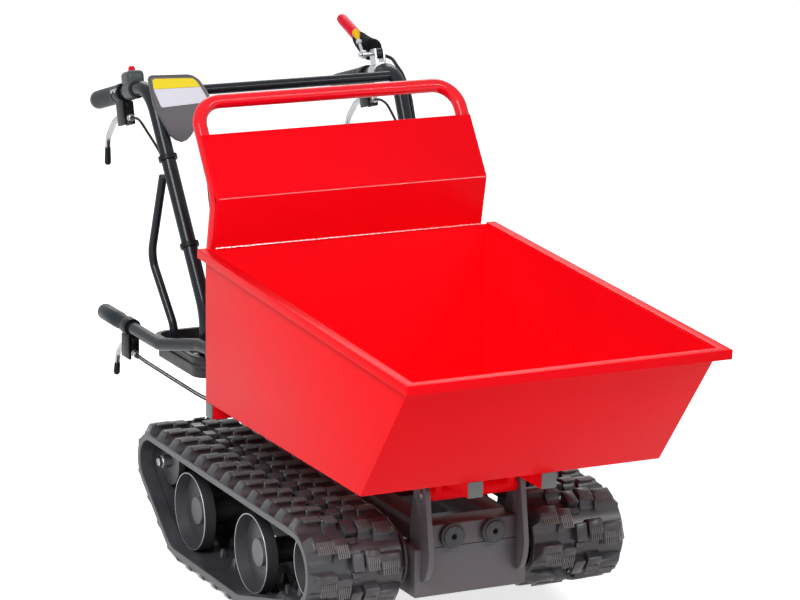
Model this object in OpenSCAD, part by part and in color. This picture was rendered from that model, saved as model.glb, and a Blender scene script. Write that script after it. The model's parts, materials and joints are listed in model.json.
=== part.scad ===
// Tracked power carrier with a tipping bin, two rubber tracks and a walk-behind handlebar.
// Front faces -Y, +Z is up, and the origin is on the ground under the middle of the machine.

/* [Tracks] */
// Width over both tracks
overall_w = 614; // [580:2:680]
// Width of one rubber track
track_w = 180; // [160:2:190]
// Thickness of the track's belt
belt_t = 10; // [8:0.5:14]
// Height of the track's lugs
lug_h = 19; // [14:1:26]
// Spacing of the lugs along the track
lug_pitch = 60; // [48:1:72]
// Length of a lug along the track, at its foot
lug_len = 40; // [30:1:44]
// Height of the guide horns inside the track
horn_h = 16; // [10:1:18]
// Radius of the road rollers
roller_r = 73.5; // [66:0.5:78]
// Distance between the two road rollers
roller_span = 282; // [260:2:320]
// Width over the two discs of a roller
roller_w = 120; // [116:2:140]
// Radius of the front idler's discs
idler_r = 59; // [50:0.5:64]
// Height of the front idler's centre
idler_z = 150; // [140:1:165]
// Distance from the front roller to the idler
idler_reach = 246; // [230:1:265]
// Radius of the drive sprocket's tips
sprocket_r = 46; // [42:0.5:52]
// Height of the drive sprocket's centre
sprocket_z = 165; // [155:1:185]
// Distance from the rear roller to the sprocket
sprocket_reach = 129; // [118:1:150]
// Number of teeth on the sprocket
sprocket_teeth = 9; // [7:1:12]
// Radius of the rollers' and idlers' axles
axle_r = 10; // [8:0.5:12]
// Radius of the sprockets' half shafts
half_shaft_r = 12.5; // [10:0.5:15]

/* [Chassis] */
// Thickness of the plates that carry the rollers
frame_plate_t = 10; // [8:1:14]
// Gap between a carrier plate and its track
frame_gap = 9; // [7:0.5:12]
// Height of the front beam
beam_h = 87; // [70:1:100]
// Depth of the front beam
beam_d = 70; // [50:1:80]
// Height of the buffer box on the front beam
buffer_box_h = 41; // [34:1:46]
// Diameter of the rubber buffers
buffer_d = 46; // [36:1:50]
// Spacing of the rubber buffers
buffer_span = 80; // [60:1:100]
// Thickness of the hinge plates
hinge_plate_t = 10; // [8:1:12]
// Radius of the hinge pin
hinge_pin_r = 9; // [7:0.5:11]
// Side of the square chassis rails
rail_s = 40; // [34:1:46]
// Height of the rails' top
rail_top = 219; // [218:1:240]

/* [Bin] */
// Width between the bin's outer side walls
bin_w = 569; // [520:2:600]
// Thickness of the bin's sheet
sheet_t = 3; // [2:0.5:4]
// Height of the bin's floor above the ground
bin_z = 338; // [330:1:360]
// Length of the bin's floor
bin_floor_l = 658; // [620:2:680]
// Length of the bin along its rim
bin_top_l = 845; // [800:2:870]
// Height of the bin's rear wall
bin_rear_h = 282; // [260:1:300]
// Height of the bin's front wall
bin_front_h = 237; // [215:1:250]
// Width of the rim's flange
rim_w = 16; // [12:1:24]
// Depth of the rim's folded lip
lip_h = 14; // [10:1:22]
// Rise of the back plate to its fold
back_fold_h = 94; // [80:1:110]
// Rise of the back plate from its fold to its top
back_top_h = 105; // [90:1:125]
// Forward lean of the back plate below its fold
back_fold_lean = 20; // [8:1:26]
// Rearward lean of the back plate above its fold
back_top_lean = 72; // [50:1:85]
// Radius of the hoop's tube
hoop_r = 13; // [10:0.5:15]
// Clear height between the back plate and the hoop's bar
hoop_gap = 36; // [32:1:60]
// Side of the square tubes under the bin
under_tube = 28; // [22:1:32]
// Spacing of the two long tubes under the bin
under_span = 140; // [120:1:144]
// Offset of the long tubes from the middle
under_shift = 0; // [-2:1:2]

/* [Handlebar] */
// Radius of the handlebar's tube
bar_r = 14; // [12:0.5:16]
// Distance between the handlebar's lower ends
bar_foot_span = 470; // [450:2:480]
// Distance between the grips
grip_span = 510; // [500:2:530]
// Distance of the handlebar's feet behind the bin
bar_foot_y = 112; // [108:1:125]
// Distance of the handlebar's upper bend behind the bin
bar_bend_y = 335; // [325:1:350]
// Height of the handlebar's upper bend
bar_bend_z = 862; // [840:1:890]
// Distance of the grips' ends behind the bin
bar_end_y = 600; // [590:1:620]
// Height of the grips' ends
bar_end_z = 790; // [770:1:810]
// Length of a rubber grip
grip_l = 112; // [100:1:120]
// Thickness of the rubber on a grip
grip_t = 4; // [3:0.5:5]

/* [Engine deck] */
// Width of the engine deck
deck_w = 524; // [510:2:530]
// Length of the engine deck
deck_l = 215; // [205:1:240]
// Height of the deck's rim above the ground
deck_z = 396; // [390:1:400]
// Depth of the deck's pan
deck_h = 42; // [34:1:46]
// Thickness of the deck's sheet
deck_t = 4; // [3:0.5:5]

/* [Hidden] */
$fn = 64;

// Clearances
run_gap = 0.05;
face_gap = 0.3;
eps = 0.01;

// Colours
red_paint = [0.88, 0.1, 0.1];
dark_paint = [0.24, 0.24, 0.26];
black_tube = [0.12, 0.12, 0.13];
rubber = [0.1, 0.1, 0.1];
zinc = [0.75, 0.76, 0.78];
cast_metal = [0.55, 0.56, 0.58];
cap_grey = [0.45, 0.47, 0.47];
signal_red = [0.8, 0.08, 0.08];
signal_yellow = [0.95, 0.8, 0.1];

// Places along the machine, from the outer face of the bin's rear wall
track_x = (overall_w - track_w) / 2;
track_in = overall_w / 2 - track_w;
rear_roller_y = 95;
front_roller_y = rear_roller_y - roller_span;
idler_y = front_roller_y - idler_reach;
sprocket_y = rear_roller_y + sprocket_reach;
roller_z = lug_h + belt_t + roller_r;
rim_slope = atan((bin_rear_h - bin_front_h) / bin_top_l);
foot_x = bar_foot_span / 2;
grip_x = grip_span / 2;
grip_fall = atan((bar_bend_z - bar_end_z) / (bar_end_y - bar_bend_y));
reach_front = bin_top_l + rim_w * cos(rim_slope) + lip_h * sin(rim_slope);
reach_rear = bar_end_y + (bar_r + grip_t) * sin(grip_fall);
y_mid = (reach_front - reach_rear) / 2;

module shift() { translate([0, y_mid, 0]) children(); }

// Vectors and tubes
function unit(v) = v / norm(v);
function aim(v) = [0, acos(v[2] / norm(v)), atan2(v[1], v[0])];

module rod(a, b, r) {
    translate(a) rotate(aim(b - a)) cylinder(h = norm(b - a), r = r);
}

// The stations of a bent tube, each a place and a heading, with arcs of the given radii at its bends
bend_step = 13;
function bend_stations(p, d1, d2, bend) =
    let (turn = acos(d1 * d2), inward = unit(d2 - (d1 * d2) * d1), n = ceil(turn / bend_step),
        c = p - d1 * bend * tan(turn / 2) + inward * bend)
    [for (k = [0:n]) let (a = turn * k / n)
        [c - inward * bend * cos(a) + d1 * bend * sin(a), d1 * cos(a) + inward * sin(a)]];
function tube_stations(p, bends) =
    let (n = len(p), d = [for (i = [0:n - 2]) unit(p[i + 1] - p[i])])
    concat([[p[0], d[0]]], [for (i = [1:1:n - 2], st = bend_stations(p[i], d[i - 1], d[i], bends[i - 1])) st],
        [[p[n - 1], d[n - 2]]]);

// A round skin over stations; the side axis is never along the run
module tube_skin(st, r, side_axis, sides) {
    m = len(st);
    rings = [for (s = st) let (u = unit(cross(s[1], side_axis)), v = cross(s[1], u))
        for (k = [0:sides - 1]) s[0] + r * (u * cos(360 * k / sides) + v * sin(360 * k / sides))];
    walls = [for (i = [0:m - 2], k = [0:sides - 1]) let (a = i * sides + k, b = i * sides + (k + 1) % sides)
        [a, a + sides, b + sides, b]];
    ends = [[for (k = [0:sides - 1]) k], [for (k = [sides - 1:-1:0]) (m - 1) * sides + k]];
    polyhedron(rings, concat(walls, ends), convexity = 8);
}
module bent_tube(p, bends, r, side_axis = [1, 0, 0], sides = 16) {
    tube_skin(tube_stations(p, bends), r, side_axis, sides);
}

// A smooth run through hand-set points, and a round cable along it
function spline_at(p, i, t) =
    let (a = p[max(i - 1, 0)], b = p[i], c = p[i + 1], d = p[min(i + 2, len(p) - 1)])
    0.5 * (2 * b + (c - a) * t + (2 * a - 5 * b + 4 * c - d) * t * t + (3 * b - a - 3 * c + d) * t * t * t);
function smooth_run(p, n) = concat(
    [for (i = [0:len(p) - 2], k = [0:n - 1]) spline_at(p, i, k / n)], [p[len(p) - 1]]);
function run_dir(q, i) = unit(q[min(i + 1, len(q) - 1)] - q[max(i - 1, 0)]);
module cable(p, r, side_axis, steps = 2) {
    q = smooth_run(p, steps);
    tube_skin([for (i = [0:len(q) - 1]) [q[i], run_dir(q, i)]], r, side_axis, 8);
}

// A profile in the side view, drawn as (rearward, up) and given a width across the machine
module side_profile(x0, w) { translate([x0, 0, 0]) rotate([90, 0, 90]) linear_extrude(w) children(); }

// A turned piece about an axle across the machine
module turned(at) { translate(at) rotate([0, 90, 0]) rotate_extrude($fn = 96) children(); }

module rounded_rect(w, l, r) {
    square([w - 2 * r, l], center = true);
    square([w, l - 2 * r], center = true);
    for (a = [-1, 1], b = [-1, 1]) translate([a * (w / 2 - r), b * (l / 2 - r)]) circle(r);
}

module box(x, y, z) { translate([x[0], y[0], z[0]]) cube([x[1] - x[0], y[1] - y[0], z[1] - z[0]]); }

// The track's run round its wheels: front roller, rear roller, sprocket, idler
wheels = [[front_roller_y, roller_z, roller_r], [rear_roller_y, roller_z, roller_r],
    [sprocket_y, sprocket_z, sprocket_r], [idler_y, idler_z, idler_r]];
wheel_count = len(wheels);
function wheel(i) = wheels[i % wheel_count];
function wheel_step(i) = [wheel(i + 1)[0] - wheel(i)[0], wheel(i + 1)[1] - wheel(i)[1]];
heading = [for (i = [0:wheel_count - 1]) let (s = wheel_step(i))
    atan2(s[1], s[0]) - asin((wheel(i + 1)[2] - wheel(i)[2]) / norm(s))];
straight = [for (i = [0:wheel_count - 1])
    sqrt(pow(norm(wheel_step(i)), 2) - pow(wheel(i + 1)[2] - wheel(i)[2], 2))];
function wrap(i) = (heading[(i + 1) % wheel_count] - heading[i] + 720) % 360;
stretches = [for (i = [0:wheel_count - 1], k = [0, 1])
    k == 0 ? straight[i] : (wheel(i + 1)[2] + belt_t) * wrap(i) * PI / 180];
function sum_to(v, n) = n <= 0 ? 0 : v[n - 1] + sum_to(v, n - 1);
track_len = sum_to(stretches, len(stretches));
lug_count = round(track_len / lug_pitch);

function spot_on_wheel(w, turn, out) =
    [w[0] + (w[2] + out) * sin(turn), w[1] - (w[2] + out) * cos(turn), turn];
function track_spot(s, out, k = 0) =
    s > stretches[k] && k < len(stretches) - 1 ? track_spot(s - stretches[k], out, k + 1) :
    let (i = floor(k / 2), h = heading[i])
    k % 2 == 1 ? spot_on_wheel(wheel(i + 1), h + s / (wheel(i + 1)[2] + belt_t) * 180 / PI, out) :
    let (p = spot_on_wheel(wheel(i), h, out)) [p[0] + s * cos(h), p[1] + s * sin(h), h];

module on_track(share, out) {
    p = track_spot(track_len * share, out);
    translate([0, p[0], p[1]]) rotate([p[2], 0, 0]) children();
}

module track_outline(out) {
    hull() for (w = wheels) translate([w[0], w[1]]) circle(w[2] + out, $fn = 60);
}

// Lug blocks stand outward (local -Z) with chamfered flanks and a lower toe by the middle band
lug_phase = 0.36;
lug_sink = 5;
foot_root = 1;
lug_edge = 2;
lug_lap = 2;
lug_flank = 16;
lug_top_len = lug_len * 0.6;
toe_w = 24;
toe_h = 14;
toe_len = lug_len * 0.62;
toe_top_len = lug_len * 0.4;
toe_slant = lug_len * 0.18;
band_w = 30;
horn_w = 15;
horn_len = 16;
horn_in = 15;
horn_sink = 3;
module lug_block(x0, x1, len_foot, len_top, h, slant) {
    hull() {
        translate([x0, -len_foot / 2, foot_root]) cube([x1 - x0, len_foot, lug_sink - foot_root]);
        translate([x0 + lug_lap, -len_top / 2 + slant, -h]) cube([x1 - x0 - lug_flank, len_top, 1]);
    }
}
module lug_row(side) {
    lug_w = track_w / 2 - band_w / 2 - lug_edge;
    mirror([side < 0 ? 1 : 0, 0, 0]) translate([band_w / 2, 0, 0]) {
        lug_block(toe_w - lug_lap, lug_w, lug_len, lug_top_len, lug_h, 0);
        lug_block(0, toe_w, toe_len, toe_top_len, toe_h, toe_slant);
    }
}
module guide_horn(side) {
    translate([side * (horn_in + horn_w / 2), 0, 0]) hull() {
        translate([-horn_w / 2, -horn_len / 2, -horn_sink]) cube([horn_w, horn_len, horn_sink - foot_root]);
        translate([-horn_w / 4, -horn_len / 4, 0]) cube([horn_w / 2, horn_len / 2, horn_h]);
    }
}
module rubber_track(side) {
    color(rubber) shift() translate([side * track_x, 0, 0]) {
        side_profile(-track_w / 2, track_w) difference() {
            track_outline(belt_t);
            track_outline(0);
        }
        for (i = [0:lug_count - 1]) {
            on_track((i + lug_phase) / lug_count, belt_t) lug_row(1);
            on_track((i + 0.5 + lug_phase) / lug_count, belt_t) lug_row(-1);
            for (q = [-1, 1]) on_track((i + 0.25 + lug_phase) / lug_count, 0) guide_horn(q);
        }
    }
}
module track_right() { rubber_track(-1); }
module track_left() { rubber_track(1); }

// Twin-disc wheels: two dished discs on a tube that turns on a fixed axle
disc_w = 22;
dish = 21;
rim_lip = 3;
rim_wall = 8.5;
rim_back = 8;
web_step = 3;
hub_tube_r = 24;
module twin_discs(r, w) {
    bore = axle_r + run_gap;
    h = w / 2;
    rim = r - face_gap;
    web = h - disc_w - web_step;
    half = [[bore, h - dish], [rim - rim_wall, h - dish], [rim - rim_lip, h], [rim - 1, h], [rim, h - 1],
        [rim, h - disc_w], [rim - rim_back, web], [hub_tube_r, web]];
    polygon(concat(half, [for (i = [len(half) - 1:-1:0]) [half[i][0], -half[i][1]]]));
}
module roller(side, y) {
    color(black_tube) shift() turned([side * track_x, y, roller_z]) twin_discs(roller_r, roller_w);
}
module front_roller_right() { roller(-1, front_roller_y); }
module front_roller_left() { roller(1, front_roller_y); }
module rear_roller_right() { roller(-1, rear_roller_y); }
module rear_roller_left() { roller(1, rear_roller_y); }

module idler(side) {
    color(cast_metal) shift() turned([side * track_x, idler_y, idler_z]) twin_discs(idler_r, roller_w);
}
module idler_right() { idler(-1); }
module idler_left() { idler(1); }

// Sprocket: a toothed middle disc between the guide horns, two smooth side rings and its half shaft
tooth_w = 20;
tooth_h = 12;
ring_in = 35;
ring_w = 12;
gearbox_w = 96;
shaft_seat = 20;
module tooth_disc() {
    tip = sprocket_r - face_gap;
    step = 360 / sprocket_teeth;
    polygon([for (i = [0:sprocket_teeth - 1], k = [[-0.36, 1], [-0.2, 0], [0.2, 0], [0.36, 1]])
        (tip - tooth_h * k[1]) * [cos((i + k[0]) * step), sin((i + k[0]) * step)]]);
}
module sprocket(side) {
    hub_r = sprocket_r - horn_h - 4;
    ring_r = sprocket_r - face_gap;
    inner_end = gearbox_w / 2 - shaft_seat + 1;
    color(cast_metal) shift() translate([side * track_x, sprocket_y, sprocket_z]) {
        rotate([90, 0, 90]) translate([0, 0, -tooth_w / 2]) linear_extrude(tooth_w) tooth_disc();
        rotate([0, 90, 0]) cylinder(h = 2 * (ring_in + ring_w), r = hub_r, center = true);
        for (q = [-1, 1]) translate([q * (ring_in + ring_w / 2), 0, 0])
            rotate([0, 90, 0]) cylinder(h = ring_w, r = ring_r, center = true);
        rotate([0, side * 90, 0]) cylinder(h = ring_in + ring_w + 14, r = half_shaft_r);
        rotate([0, -side * 90, 0]) cylinder(h = track_x - inner_end, r = half_shaft_r);
    }
}
module sprocket_right() { sprocket(-1); }
module sprocket_left() { sprocket(1); }

// Fixed axles with a collar to the carrier plate and a washer in the outer dish
collar_r = 16;
washer_r = 25;
washer_t = 7;
plate_out = track_in - frame_gap;
module fixed_axle(side, y, z) {
    hub_face = roller_w / 2 - dish;
    collar = track_x - hub_face - face_gap - plate_out;
    translate([side * plate_out, y, z]) rotate([0, side * 90, 0]) {
        cylinder(h = track_x + hub_face + face_gap + washer_t - plate_out, r = axle_r);
        cylinder(h = collar, r = collar_r);
        translate([0, 0, track_x + hub_face + face_gap - plate_out]) cylinder(h = washer_t, r = washer_r);
    }
}
module roller_axles() {
    color(zinc) shift() for (side = [-1, 1]) {
        fixed_axle(side, front_roller_y, roller_z);
        fixed_axle(side, rear_roller_y, roller_z);
        fixed_axle(side, idler_y, idler_z);
    }
}

// Chassis
plate_in = plate_out - frame_plate_t;
hinge_y = -500;
hinge_z = 277;
beam_front = hinge_y - 8;
beam_top = rail_top - rail_s;
rail_x = gearbox_w / 2 + 2 + rail_s / 2;
rail_tail = 64;
rail_rear = sprocket_y + rail_tail;
buffer_box_d = 50;
buffer_half = 87;
buffer_l = 15;
deck_front = bar_foot_y - 22;
deck_rear = deck_front + deck_l;
deck_floor = deck_z - deck_h + deck_t;
rest_w = 36;
striker_y = 7;
striker_z = 262;
striker_r = 5;
post_x = 14;
strut_s = 30;

module track_frames() {
    color(dark_paint) shift() for (side = [-1, 1]) difference() {
        side_profile(side > 0 ? plate_in : -plate_out, frame_plate_t) hull() {
            translate([sprocket_y, sprocket_z]) circle(40);
            translate([idler_y, idler_z]) circle(38);
            for (y = [front_roller_y, rear_roller_y]) translate([y, roller_z]) circle(30);
        }
        translate([0, sprocket_y, sprocket_z]) rotate([0, side * 90, 0])
            cylinder(h = overall_w, r = half_shaft_r + run_gap);
    }
}

module chassis_frame() {
    color(dark_paint) shift() {
        for (side = [-1, 1]) {
            box([side * rail_x - rail_s / 2, side * rail_x + rail_s / 2],
                [beam_front + buffer_box_d, rail_rear], [rail_top - rail_s, rail_top]);
            box([side * rail_x - rest_w / 2, side * rail_x + rest_w / 2],
                [-under_tube - 30, -under_tube + 10], [rail_top, bin_z - under_tube - face_gap]);
            for (y = [deck_front + 30, deck_rear - 30 - strut_s])
                box([side * rail_x - strut_s / 2, side * rail_x + strut_s / 2], [y, y + strut_s],
                    [rail_top, deck_z - deck_h]);
            box([side * post_x - 4, side * post_x + 4], [striker_y - 6, striker_y + 6],
                [rail_top, striker_z + striker_r + 2]);
        }
        for (y = [front_roller_y, rear_roller_y])
            box([-plate_in, plate_in], [y - rail_s / 2, y + rail_s / 2], [beam_top - rail_s, beam_top]);
        box([-rail_x, rail_x], [0, 30], [rail_top - 28, rail_top]);
        rod([-post_x, striker_y, striker_z], [post_x, striker_y, striker_z], striker_r);
    }
}

module front_beam() {
    half = plate_in;
    color(dark_paint) shift() {
        box([-half, half], [beam_front, beam_front + beam_d], [beam_top - beam_h, beam_top]);
        box([-buffer_half, buffer_half], [beam_front, beam_front + buffer_box_d],
            [beam_top, beam_top + buffer_box_h]);
    }
}

module rubber_buffers() {
    color(rubber) shift() for (q = [-1, 1])
        translate([q * buffer_span / 2, beam_front, beam_top + buffer_box_h / 2]) rotate([90, 0, 0])
        difference() {
            union() {
                cylinder(h = buffer_l - 4, d = buffer_d);
                cylinder(h = buffer_l, d = buffer_d - 8);
            }
            translate([0, 0, buffer_l - 12]) cylinder(h = 20, r = 5);
        }
}

hinge_eye = 24;
plate_front = hinge_y - 40;
hook_drop = 58;
hook_step = 15;
module hinge_plates() {
    color(dark_paint) shift() for (side = [-1, 1]) difference() {
        side_profile(side > 0 ? buffer_half : -buffer_half - hinge_plate_t, hinge_plate_t) {
            polygon(concat([[beam_front, beam_top], [hinge_y + 37, beam_top], [hinge_y + 37, beam_top + 40],
                [hinge_y + hinge_eye, hinge_z], [hinge_y - hinge_eye, hinge_z]],
                [for (a = [0:hook_step:90]) [beam_front - (beam_front - plate_front) * cos(a),
                    beam_top - hook_drop * sin(a)]]));
            translate([hinge_y, hinge_z]) circle(hinge_eye);
        }
        rod([-overall_w / 2, hinge_y, hinge_z], [overall_w / 2, hinge_y, hinge_z], hinge_pin_r + run_gap);
    }
}

module hinge_pin() {
    reach = buffer_half + hinge_plate_t;
    color(zinc) shift() {
        rod([-reach - 5, hinge_y, hinge_z], [reach + 5, hinge_y, hinge_z], hinge_pin_r);
        for (side = [-1, 1])
            rod([side * (reach + 0.2), hinge_y, hinge_z], [side * (reach + 5), hinge_y, hinge_z],
                hinge_pin_r + 4);
    }
}

// Gearbox and belt drive
pulley_x = -125;
pulley_w = 18;
pulley_shaft_r = 10;
input_z = 298;
crank_ahead = 21;
crank_y = sprocket_y - crank_ahead;
crank_z = deck_floor + 95;
gear_pulley_r = 38;
crank_pulley_r = 34;
belt_depth = 7;
module gearbox() {
    color(cast_metal) shift() difference() {
        union() {
            side_profile(-gearbox_w / 2, gearbox_w) {
                translate([sprocket_y, sprocket_z]) circle(56);
                translate([sprocket_y - 34, sprocket_z - 40]) square([68, input_z - sprocket_z + 40]);
                translate([sprocket_y, input_z]) circle(34);
            }
            translate([gearbox_w / 2 - 1, sprocket_y, input_z]) rotate([0, 90, 0]) cylinder(h = 9, r = 18);
        }
        for (side = [-1, 1]) rod([side * (gearbox_w / 2 + 1), sprocket_y, sprocket_z],
            [side * (gearbox_w / 2 - shaft_seat), sprocket_y, sprocket_z], half_shaft_r + run_gap);
        rod([-gearbox_w / 2 - 1, sprocket_y, input_z], [-gearbox_w / 2 + shaft_seat, sprocket_y, input_z],
            pulley_shaft_r + run_gap);
    }
}
module pulley(y, z, r, shaft_to) {
    translate([pulley_x, y, z]) {
        rotate([0, 90, 0]) rotate_extrude($fn = 72) polygon([[0, -pulley_w / 2], [r, -pulley_w / 2],
            [r, -pulley_w / 2 + 2], [r - belt_depth, -2], [r - belt_depth, 2], [r, pulley_w / 2 - 2],
            [r, pulley_w / 2], [0, pulley_w / 2]]);
        rotate([0, 90, 0]) cylinder(h = shaft_to - pulley_x, r = pulley_shaft_r);
    }
}
module gearbox_pulley() {
    color(cast_metal) shift() pulley(sprocket_y, input_z, gear_pulley_r, -gearbox_w / 2 + shaft_seat - 1);
}
block_x = [-80, 80];
block_half = 55;
block_top = crank_z + 62;
module engine_pulley() {
    color(cast_metal) shift() pulley(crank_y, crank_z, crank_pulley_r, block_x[0] + shaft_seat - 1);
}
module belt_loop(grow) {
    hull() {
        translate([sprocket_y, input_z]) circle(gear_pulley_r + grow);
        translate([crank_y, crank_z]) circle(crank_pulley_r + grow);
    }
}
module drive_belt() {
    color(rubber) shift() side_profile(pulley_x - 6, 12) difference() {
        belt_loop(6);
        belt_loop(face_gap);
    }
}

// Gear lever on a bracket behind the deck
gear_x = 40;
gear_y = deck_rear + 34;
gear_z = deck_z - 30;
gear_pin_r = 5;
gear_stick_r = 4.5;
gear_knob = [gear_x + 24, gear_y + 30, gear_z + 255];
module gear_bracket() {
    color(dark_paint) shift() {
        seat = deck_rear + deck_rib;
        box([gear_x - 20, gear_x + 20], [seat, seat + 5], [deck_z - deck_h, deck_z - 10]);
        for (q = [-1, 1]) translate([gear_x + q * 8, 0, 0])
            box([-3, 3], [seat, gear_y + 10], [gear_z - 10, gear_z + 10]);
        rod([gear_x - 11, gear_y, gear_z], [gear_x + 11, gear_y, gear_z], gear_pin_r);
    }
}
module gear_lever() {
    color(zinc) shift() difference() {
        union() {
            rod([gear_x - 4.7, gear_y, gear_z], [gear_x + 4.7, gear_y, gear_z], 10);
            bent_tube([[gear_x, gear_y, gear_z], [gear_x, gear_y + 4, gear_z + 150], gear_knob],
                [60], gear_stick_r, sides = 12);
            translate(gear_knob) sphere(15);
        }
        rod([gear_x - 20, gear_y, gear_z], [gear_x + 20, gear_y, gear_z], gear_pin_r + run_gap);
    }
}

// Engine deck: a pressed pan with a rolled rim and a slot for the belt
deck_corner = 30;
deck_rim = 6;
deck_rib = 3;
module deck_slab(grow, z, h) {
    translate([0, (deck_front + deck_rear) / 2, z]) linear_extrude(h)
        rounded_rect(deck_w + 2 * grow, deck_l + 2 * grow, deck_corner + grow);
}
module engine_deck() {
    color(dark_paint) shift() difference() {
        union() {
            deck_slab(0, deck_z - deck_h, deck_h);
            deck_slab(deck_rim, deck_z - 5, 5);
            deck_slab(deck_rib, deck_z - deck_h / 2 - 4, 8);
        }
        deck_slab(-deck_t, deck_floor, deck_h);
        box([pulley_x - 16, pulley_x + 16], [crank_y - 52, sprocket_y + 52],
            [deck_z - deck_h - 1, deck_floor + 1]);
    }
}

// Engine: crankcase, finned cylinder, recoil starter, tank, cap, air cleaner and muffler
module engine_block() {
    color(cast_metal) shift() difference() {
        union() {
            box(block_x, [crank_y - block_half, crank_y + block_half], [deck_floor + 8, block_top]);
            box(block_x + [-12, 12], [crank_y - 62, crank_y + 62], [deck_floor, deck_floor + 10]);
            translate([block_x[0] - 8, crank_y, crank_z]) rotate([0, 90, 0]) cylinder(h = 12, r = 44);
        }
        rod([block_x[0] - 20, crank_y, crank_z], [block_x[0] + shaft_seat, crank_y, crank_z],
            pulley_shaft_r + run_gap);
    }
}
cyl_lean = 45;
fin_count = 7;
fin_pitch = 8;
fin_t = 3.5;
fin_half = 56;
notch_h = 6;
module engine_cylinder() {
    head = fin_count * fin_pitch + 12;
    color(cast_metal) shift() difference() {
        translate([0, crank_y - block_half, crank_z + 40]) rotate([cyl_lean, 0, 0]) {
            translate([-42, -40, -40]) cube([84, 60, 44]);
            for (i = [0:fin_count - 1])
                translate([-fin_half, -fin_half, 6 + i * fin_pitch])
                    cube([2 * fin_half, fin_half + 22, fin_t]);
            translate([-40, -42, 2]) cube([80, 58, head]);
            translate([0, -14, head]) cylinder(h = 14, r = 9);
        }
        box(block_x + [-1, 1], [crank_y - block_half - run_gap, crank_y + block_half],
            [0, block_top + notch_h]);
    }
}
recoil_r = 57;
module recoil_cover() {
    color(red_paint) shift() turned([block_x[1], crank_y, crank_z])
        polygon([[0, 0], [recoil_r, 0], [recoil_r, 20], [recoil_r - 5, 34], [recoil_r - 17, 42], [0, 42]]);
}
pull_y = crank_y + recoil_r;
module recoil_handle() {
    color(black_tube) shift() translate([block_x[1] + 12, pull_y + face_gap, crank_z]) {
        rotate([-90, 0, 0]) cylinder(h = 14, r = 5);
        translate([0, 18, 0]) rotate([0, 90, 0]) cylinder(h = 46, r = 6, center = true);
    }
}
tank_z = block_top + 16;
tank_h = 76;
module fuel_tank() {
    color(dark_paint) shift() {
        translate([0, crank_y + 20, tank_z]) linear_extrude(tank_h) rounded_rect(210, 150, 32);
        translate([0, crank_y + 20, tank_z + tank_h]) linear_extrude(5) rounded_rect(190, 130, 26);
        for (q = [-1, 1]) box([q * 60 - 8, q * 60 + 8], [crank_y + 20, crank_y + 50], [block_top, tank_z]);
        translate([50, crank_y + 20, tank_z + tank_h + 5]) cylinder(h = 10, r = 22);
    }
}
module fuel_cap() {
    color(black_tube) shift() translate([50, crank_y + 20, tank_z + tank_h + 15 + face_gap]) {
        cylinder(h = 16, r = 28);
        translate([0, 0, 16]) cylinder(h = 5, r = 24);
        for (i = [0:9]) rotate(36 * i) translate([27, 0, 2]) cylinder(h = 12, r = 3);
    }
}
module air_cleaner() {
    color(black_tube) shift() {
        translate([-10, crank_y + 84, crank_z + 6]) rotate([90, 0, 0])
            linear_extrude(22, center = true) rounded_rect(110, 92, 16);
        rod([-10, crank_y + block_half, crank_z + 6], [-10, crank_y + 74, crank_z + 6], 18);
    }
}
muffler_w = 88;
muffler_h = 78;
module muffler() {
    at = [118, crank_y - 88, crank_z + 30];
    color(zinc) shift() {
        translate(at) rotate([0, 90, 0])
            linear_extrude(muffler_w, center = true) rounded_rect(muffler_h, 56, 18);
        rod([fin_half + face_gap, at[1], at[2]], at - [muffler_w / 2 - 1, 0, 0], 12);
        rod(at + [0, 0, muffler_h / 2], at + [0, 0, muffler_h / 2 + 13], 9);
    }
}

// Bin: a folded sheet tub with a leaning front wall and a rim that falls to the front
rim_z = bin_z + bin_rear_h;
front_dir = unit([bin_floor_l - bin_top_l, bin_front_h]);
front_in = [front_dir[1], -front_dir[0]] * sheet_t;
function front_inner(z) = let (u = (z - bin_z - front_in[1]) / front_dir[1])
    -bin_floor_l + front_in[0] + u * front_dir[0];
open_top = rim_z + 60;
module bin_tub() {
    color(red_paint) shift() difference() {
        side_profile(-bin_w / 2, bin_w)
            polygon([[0, bin_z], [-bin_floor_l, bin_z], [-bin_top_l, bin_z + bin_front_h], [0, rim_z]]);
        side_profile(-bin_w / 2 + sheet_t, bin_w - 2 * sheet_t)
            polygon([[-sheet_t, bin_z + sheet_t], [front_inner(bin_z + sheet_t), bin_z + sheet_t],
                [front_inner(open_top), open_top], [-sheet_t, open_top]]);
    }
}
module bin_rim() {
    run = bin_top_l / cos(rim_slope);
    half = bin_w / 2 + rim_w;
    color(red_paint) shift() translate([0, 0, rim_z]) rotate([rim_slope, 0, 0]) {
        difference() {
            box([-half, half], [-run - rim_w, 0], [-lip_h, sheet_t]);
            box([-half + sheet_t, half - sheet_t], [-run - rim_w + sheet_t, 1], [-lip_h - 1, 0]);
            box([-bin_w / 2 + sheet_t, bin_w / 2 - sheet_t], [-run + sheet_t, 1], [-lip_h - 1, sheet_t + 1]);
        }
    }
}
back_w = bin_w - 29;
fold_z = rim_z + back_fold_h;
plate_top = fold_z + back_top_h;
module bin_back_plate() {
    t = sheet_t;
    color(red_paint) shift() side_profile(-back_w / 2, back_w)
        polygon([[-t, rim_z], [-back_fold_lean - t, fold_z], [back_top_lean - back_fold_lean - t, plate_top],
            [back_top_lean - back_fold_lean, plate_top], [-back_fold_lean, fold_z], [0, rim_z]]);
}
hoop_x = back_w / 2 - hoop_r * 0.6;
hoop_foot = 60;
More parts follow.
